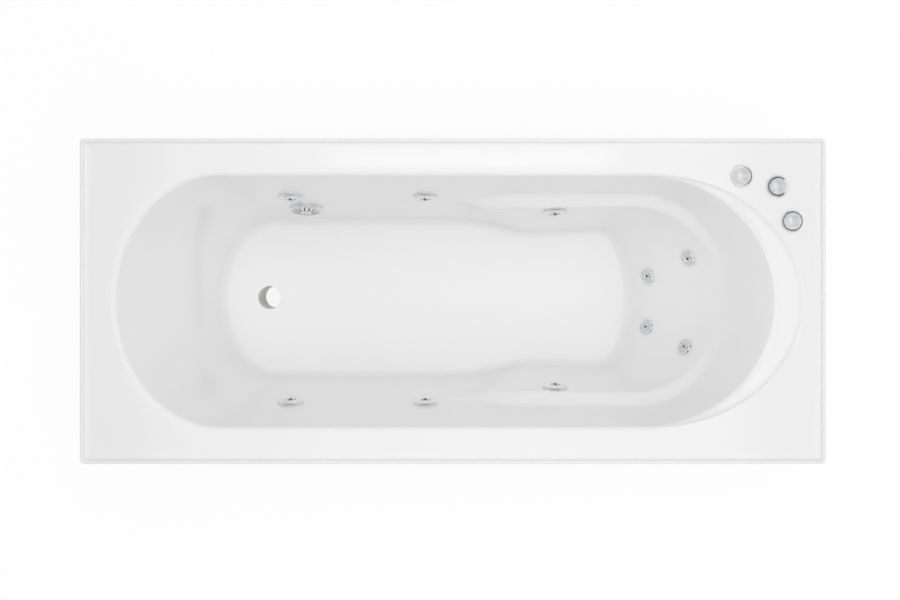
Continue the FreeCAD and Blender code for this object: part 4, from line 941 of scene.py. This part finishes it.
# %% Sealed chipboard
tree, shader = finish("sealed_chipboard", (0.55, 0.44, 0.29), 0.45, Coat_Weight=0.25, Coat_Roughness=0.3)
flakes = add(tree, "ShaderNodeTexVoronoi", feature="F1")
tree.links.new(place_on_object(tree, (0.6, 1.0, 2.5)), flakes.inputs["Vector"])
flakes.inputs["Scale"].default_value = 260.0
tone = add(tree, "ShaderNodeSeparateColor")
tree.links.new(flakes.outputs["Color"], tone.inputs[0])
colours(tree, shader, tone.outputs[0], (0.42, 0.30, 0.17), (0.68, 0.57, 0.40))
bump(tree, shader, flakes.outputs["Distance"], 0.0006, 0.4)
shades(tree, tone.outputs[1], 0.35, 0.6, shader.inputs["Roughness"])

# %% Galvanised steel
tree, shader = finish("galvanised_steel", (0.55, 0.56, 0.58), 0.45, Metallic=0.9)
spangle = add(tree, "ShaderNodeTexVoronoi", feature="F1")
tree.links.new(place_on_object(tree), spangle.inputs["Vector"])
spangle.inputs["Scale"].default_value = 140.0
tone = add(tree, "ShaderNodeSeparateColor")
tree.links.new(spangle.outputs["Color"], tone.inputs[0])
colours(tree, shader, tone.outputs[0], (0.46, 0.47, 0.49), (0.66, 0.67, 0.69))
shades(tree, tone.outputs[1], 0.3, 0.55, shader.inputs["Roughness"])
bump(tree, shader, use(tree, "slow_ripple", Scale=60.0).outputs["Height"], 0.0003, 0.4)

# %% Black and grey mouldings of the pump and feet
for name, dark in (("foot_moulding", (0.045, 0.045, 0.05)), ("pump_moulding", (0.03, 0.032, 0.035))):
    tree, shader = finish(name, dark, 0.42, IOR=1.5)
    bump(tree, shader, use(tree, "moulding_grain", Scale=1500.0).outputs["Height"], 0.0001, 0.5)
    dust = use(tree, "settled_dust", Amount=0.45).outputs["Mask"]
    worn = use(tree, "edge_wear").outputs["Mask"]
    colours(tree, shader, math_node(tree, "MAXIMUM", dust, math_node(tree, "MULTIPLY", worn, 0.4)),
            dark, (0.26, 0.25, 0.24))
    shades(tree, dust, 0.34, 0.8, shader.inputs["Roughness"])

# %% Cast motor case
tree, shader = finish("cast_motor", (0.16, 0.18, 0.20), 0.5, Metallic=0.2)
cast = noise(tree, place_on_object(tree), 900.0, 4.0, 0.7)
bump(tree, shader, cast, 0.0003, 0.6)
dust = use(tree, "settled_dust", Amount=0.4).outputs["Mask"]
colours(tree, shader, dust, (0.15, 0.17, 0.19), (0.36, 0.35, 0.33))
shades(tree, cast, 0.4, 0.6, shader.inputs["Roughness"])

# %% Iron laminations and ground steel
tree, shader = finish("iron_sheets", (0.24, 0.23, 0.22), 0.5, Metallic=0.8)
sheets = add(tree, "ShaderNodeTexWave", wave_type="BANDS", bands_direction="Y")
tree.links.new(place_on_object(tree), sheets.inputs["Vector"])
sheets.inputs["Scale"].default_value = 320.0
bump(tree, shader, sheets.outputs["Fac"], 0.0003, 0.8)
colours(tree, shader, sheets.outputs["Fac"], (0.16, 0.15, 0.14), (0.34, 0.32, 0.30))
tree, shader = finish("ground_steel", (0.62, 0.62, 0.62), 0.22, Metallic=1.0)
lines = use(tree, "drawn_lines", Scale=1400.0).outputs["Height"]
bump(tree, shader, lines, 0.00005, 0.4)
shades(tree, lines, 0.16, 0.34, shader.inputs["Roughness"])
print("finishes:", len(finishes))

# %% [markdown]
# ## Soft edges on the CAD pieces
# The CAD pieces come as flat facets.  A small geometry node group welds their seams and
# shades them smooth wherever two facets meet at a low angle, which leaves every vertex
# of the frame where it was.

# %% Smooth shading group
soften = bpy.data.node_groups.new("smooth_where_flat", "GeometryNodeTree")
soften.interface.new_socket("Geometry", in_out="INPUT", socket_type="NodeSocketGeometry")
soften.interface.new_socket("Geometry", in_out="OUTPUT", socket_type="NodeSocketGeometry")
start = add(soften, "NodeGroupInput")
weld = add(soften, "GeometryNodeMergeByDistance")
weld.inputs["Distance"].default_value = 0.000002
bare = add(soften, "GeometryNodeRemoveAttribute")
bare.inputs["Name"].default_value = "custom_normal"
angle = add(soften, "GeometryNodeInputMeshEdgeAngle")
sharp = add(soften, "FunctionNodeCompare", data_type="FLOAT", operation="GREATER_THAN")
sharp.inputs[1].default_value = math.radians(28.0)
round_faces = add(soften, "GeometryNodeSetShadeSmooth", domain="FACE")
crisp_edges = add(soften, "GeometryNodeSetShadeSmooth", domain="EDGE")
crisp_edges.inputs["Shade Smooth"].default_value = False
end = add(soften, "NodeGroupOutput")
soften.links.new(start.outputs[0], bare.inputs[0])
soften.links.new(bare.outputs[0], weld.inputs["Geometry"])
soften.links.new(weld.outputs[0], round_faces.inputs["Geometry"])
soften.links.new(round_faces.outputs[0], crisp_edges.inputs["Geometry"])
soften.links.new(angle.outputs["Unsigned Angle"], sharp.inputs[0])
soften.links.new(sharp.outputs[0], crisp_edges.inputs["Selection"])
soften.links.new(crisp_edges.outputs[0], end.inputs[0])

# %% Finishes of the CAD pieces
slot_finish = {
    "white_acrylic": "pressed_acrylic", "chrome_trim": "chrome_plate", "satin_knob": "satin_knob",
    "steel_screw": "bright_steel", "white_plastic": "white_pipework", "clear_tube": "milky_hose",
    "black_rubber": "black_rubber", "sealed_board": "sealed_chipboard",
    "galvanised_steel": "galvanised_steel", "foot_plastic": "foot_moulding",
    "pump_plastic": "pump_moulding", "motor_casting": "cast_motor", "stator_iron": "iron_sheets",
    "ground_steel": "ground_steel",
}
slots = {row["node"]: row["material_slot"] for row in frame["record"]["subparts"]}
for name, node in nodes.items():
    node.data.materials.clear()
    node.data.materials.append(finishes[slot_finish[slots[name]]])
    step = node.modifiers.new("smooth_where_flat", "NODES")
    step.node_group = soften
shell.data.materials.clear()
shell.data.materials.append(finishes["pressed_acrylic"])
shell.data.materials.append(finishes["sprayed_back"])
bellows.data.materials.append(finishes["black_rubber"])
foot_mesh.materials.append(finishes["foot_moulding"])
foot_mesh.materials.append(finishes["bright_steel"])
for face in foot_mesh.polygons:
    face.material_index = 1 if face.center.z > pad_top * mm else 0
print("finished CAD pieces:", len(nodes))
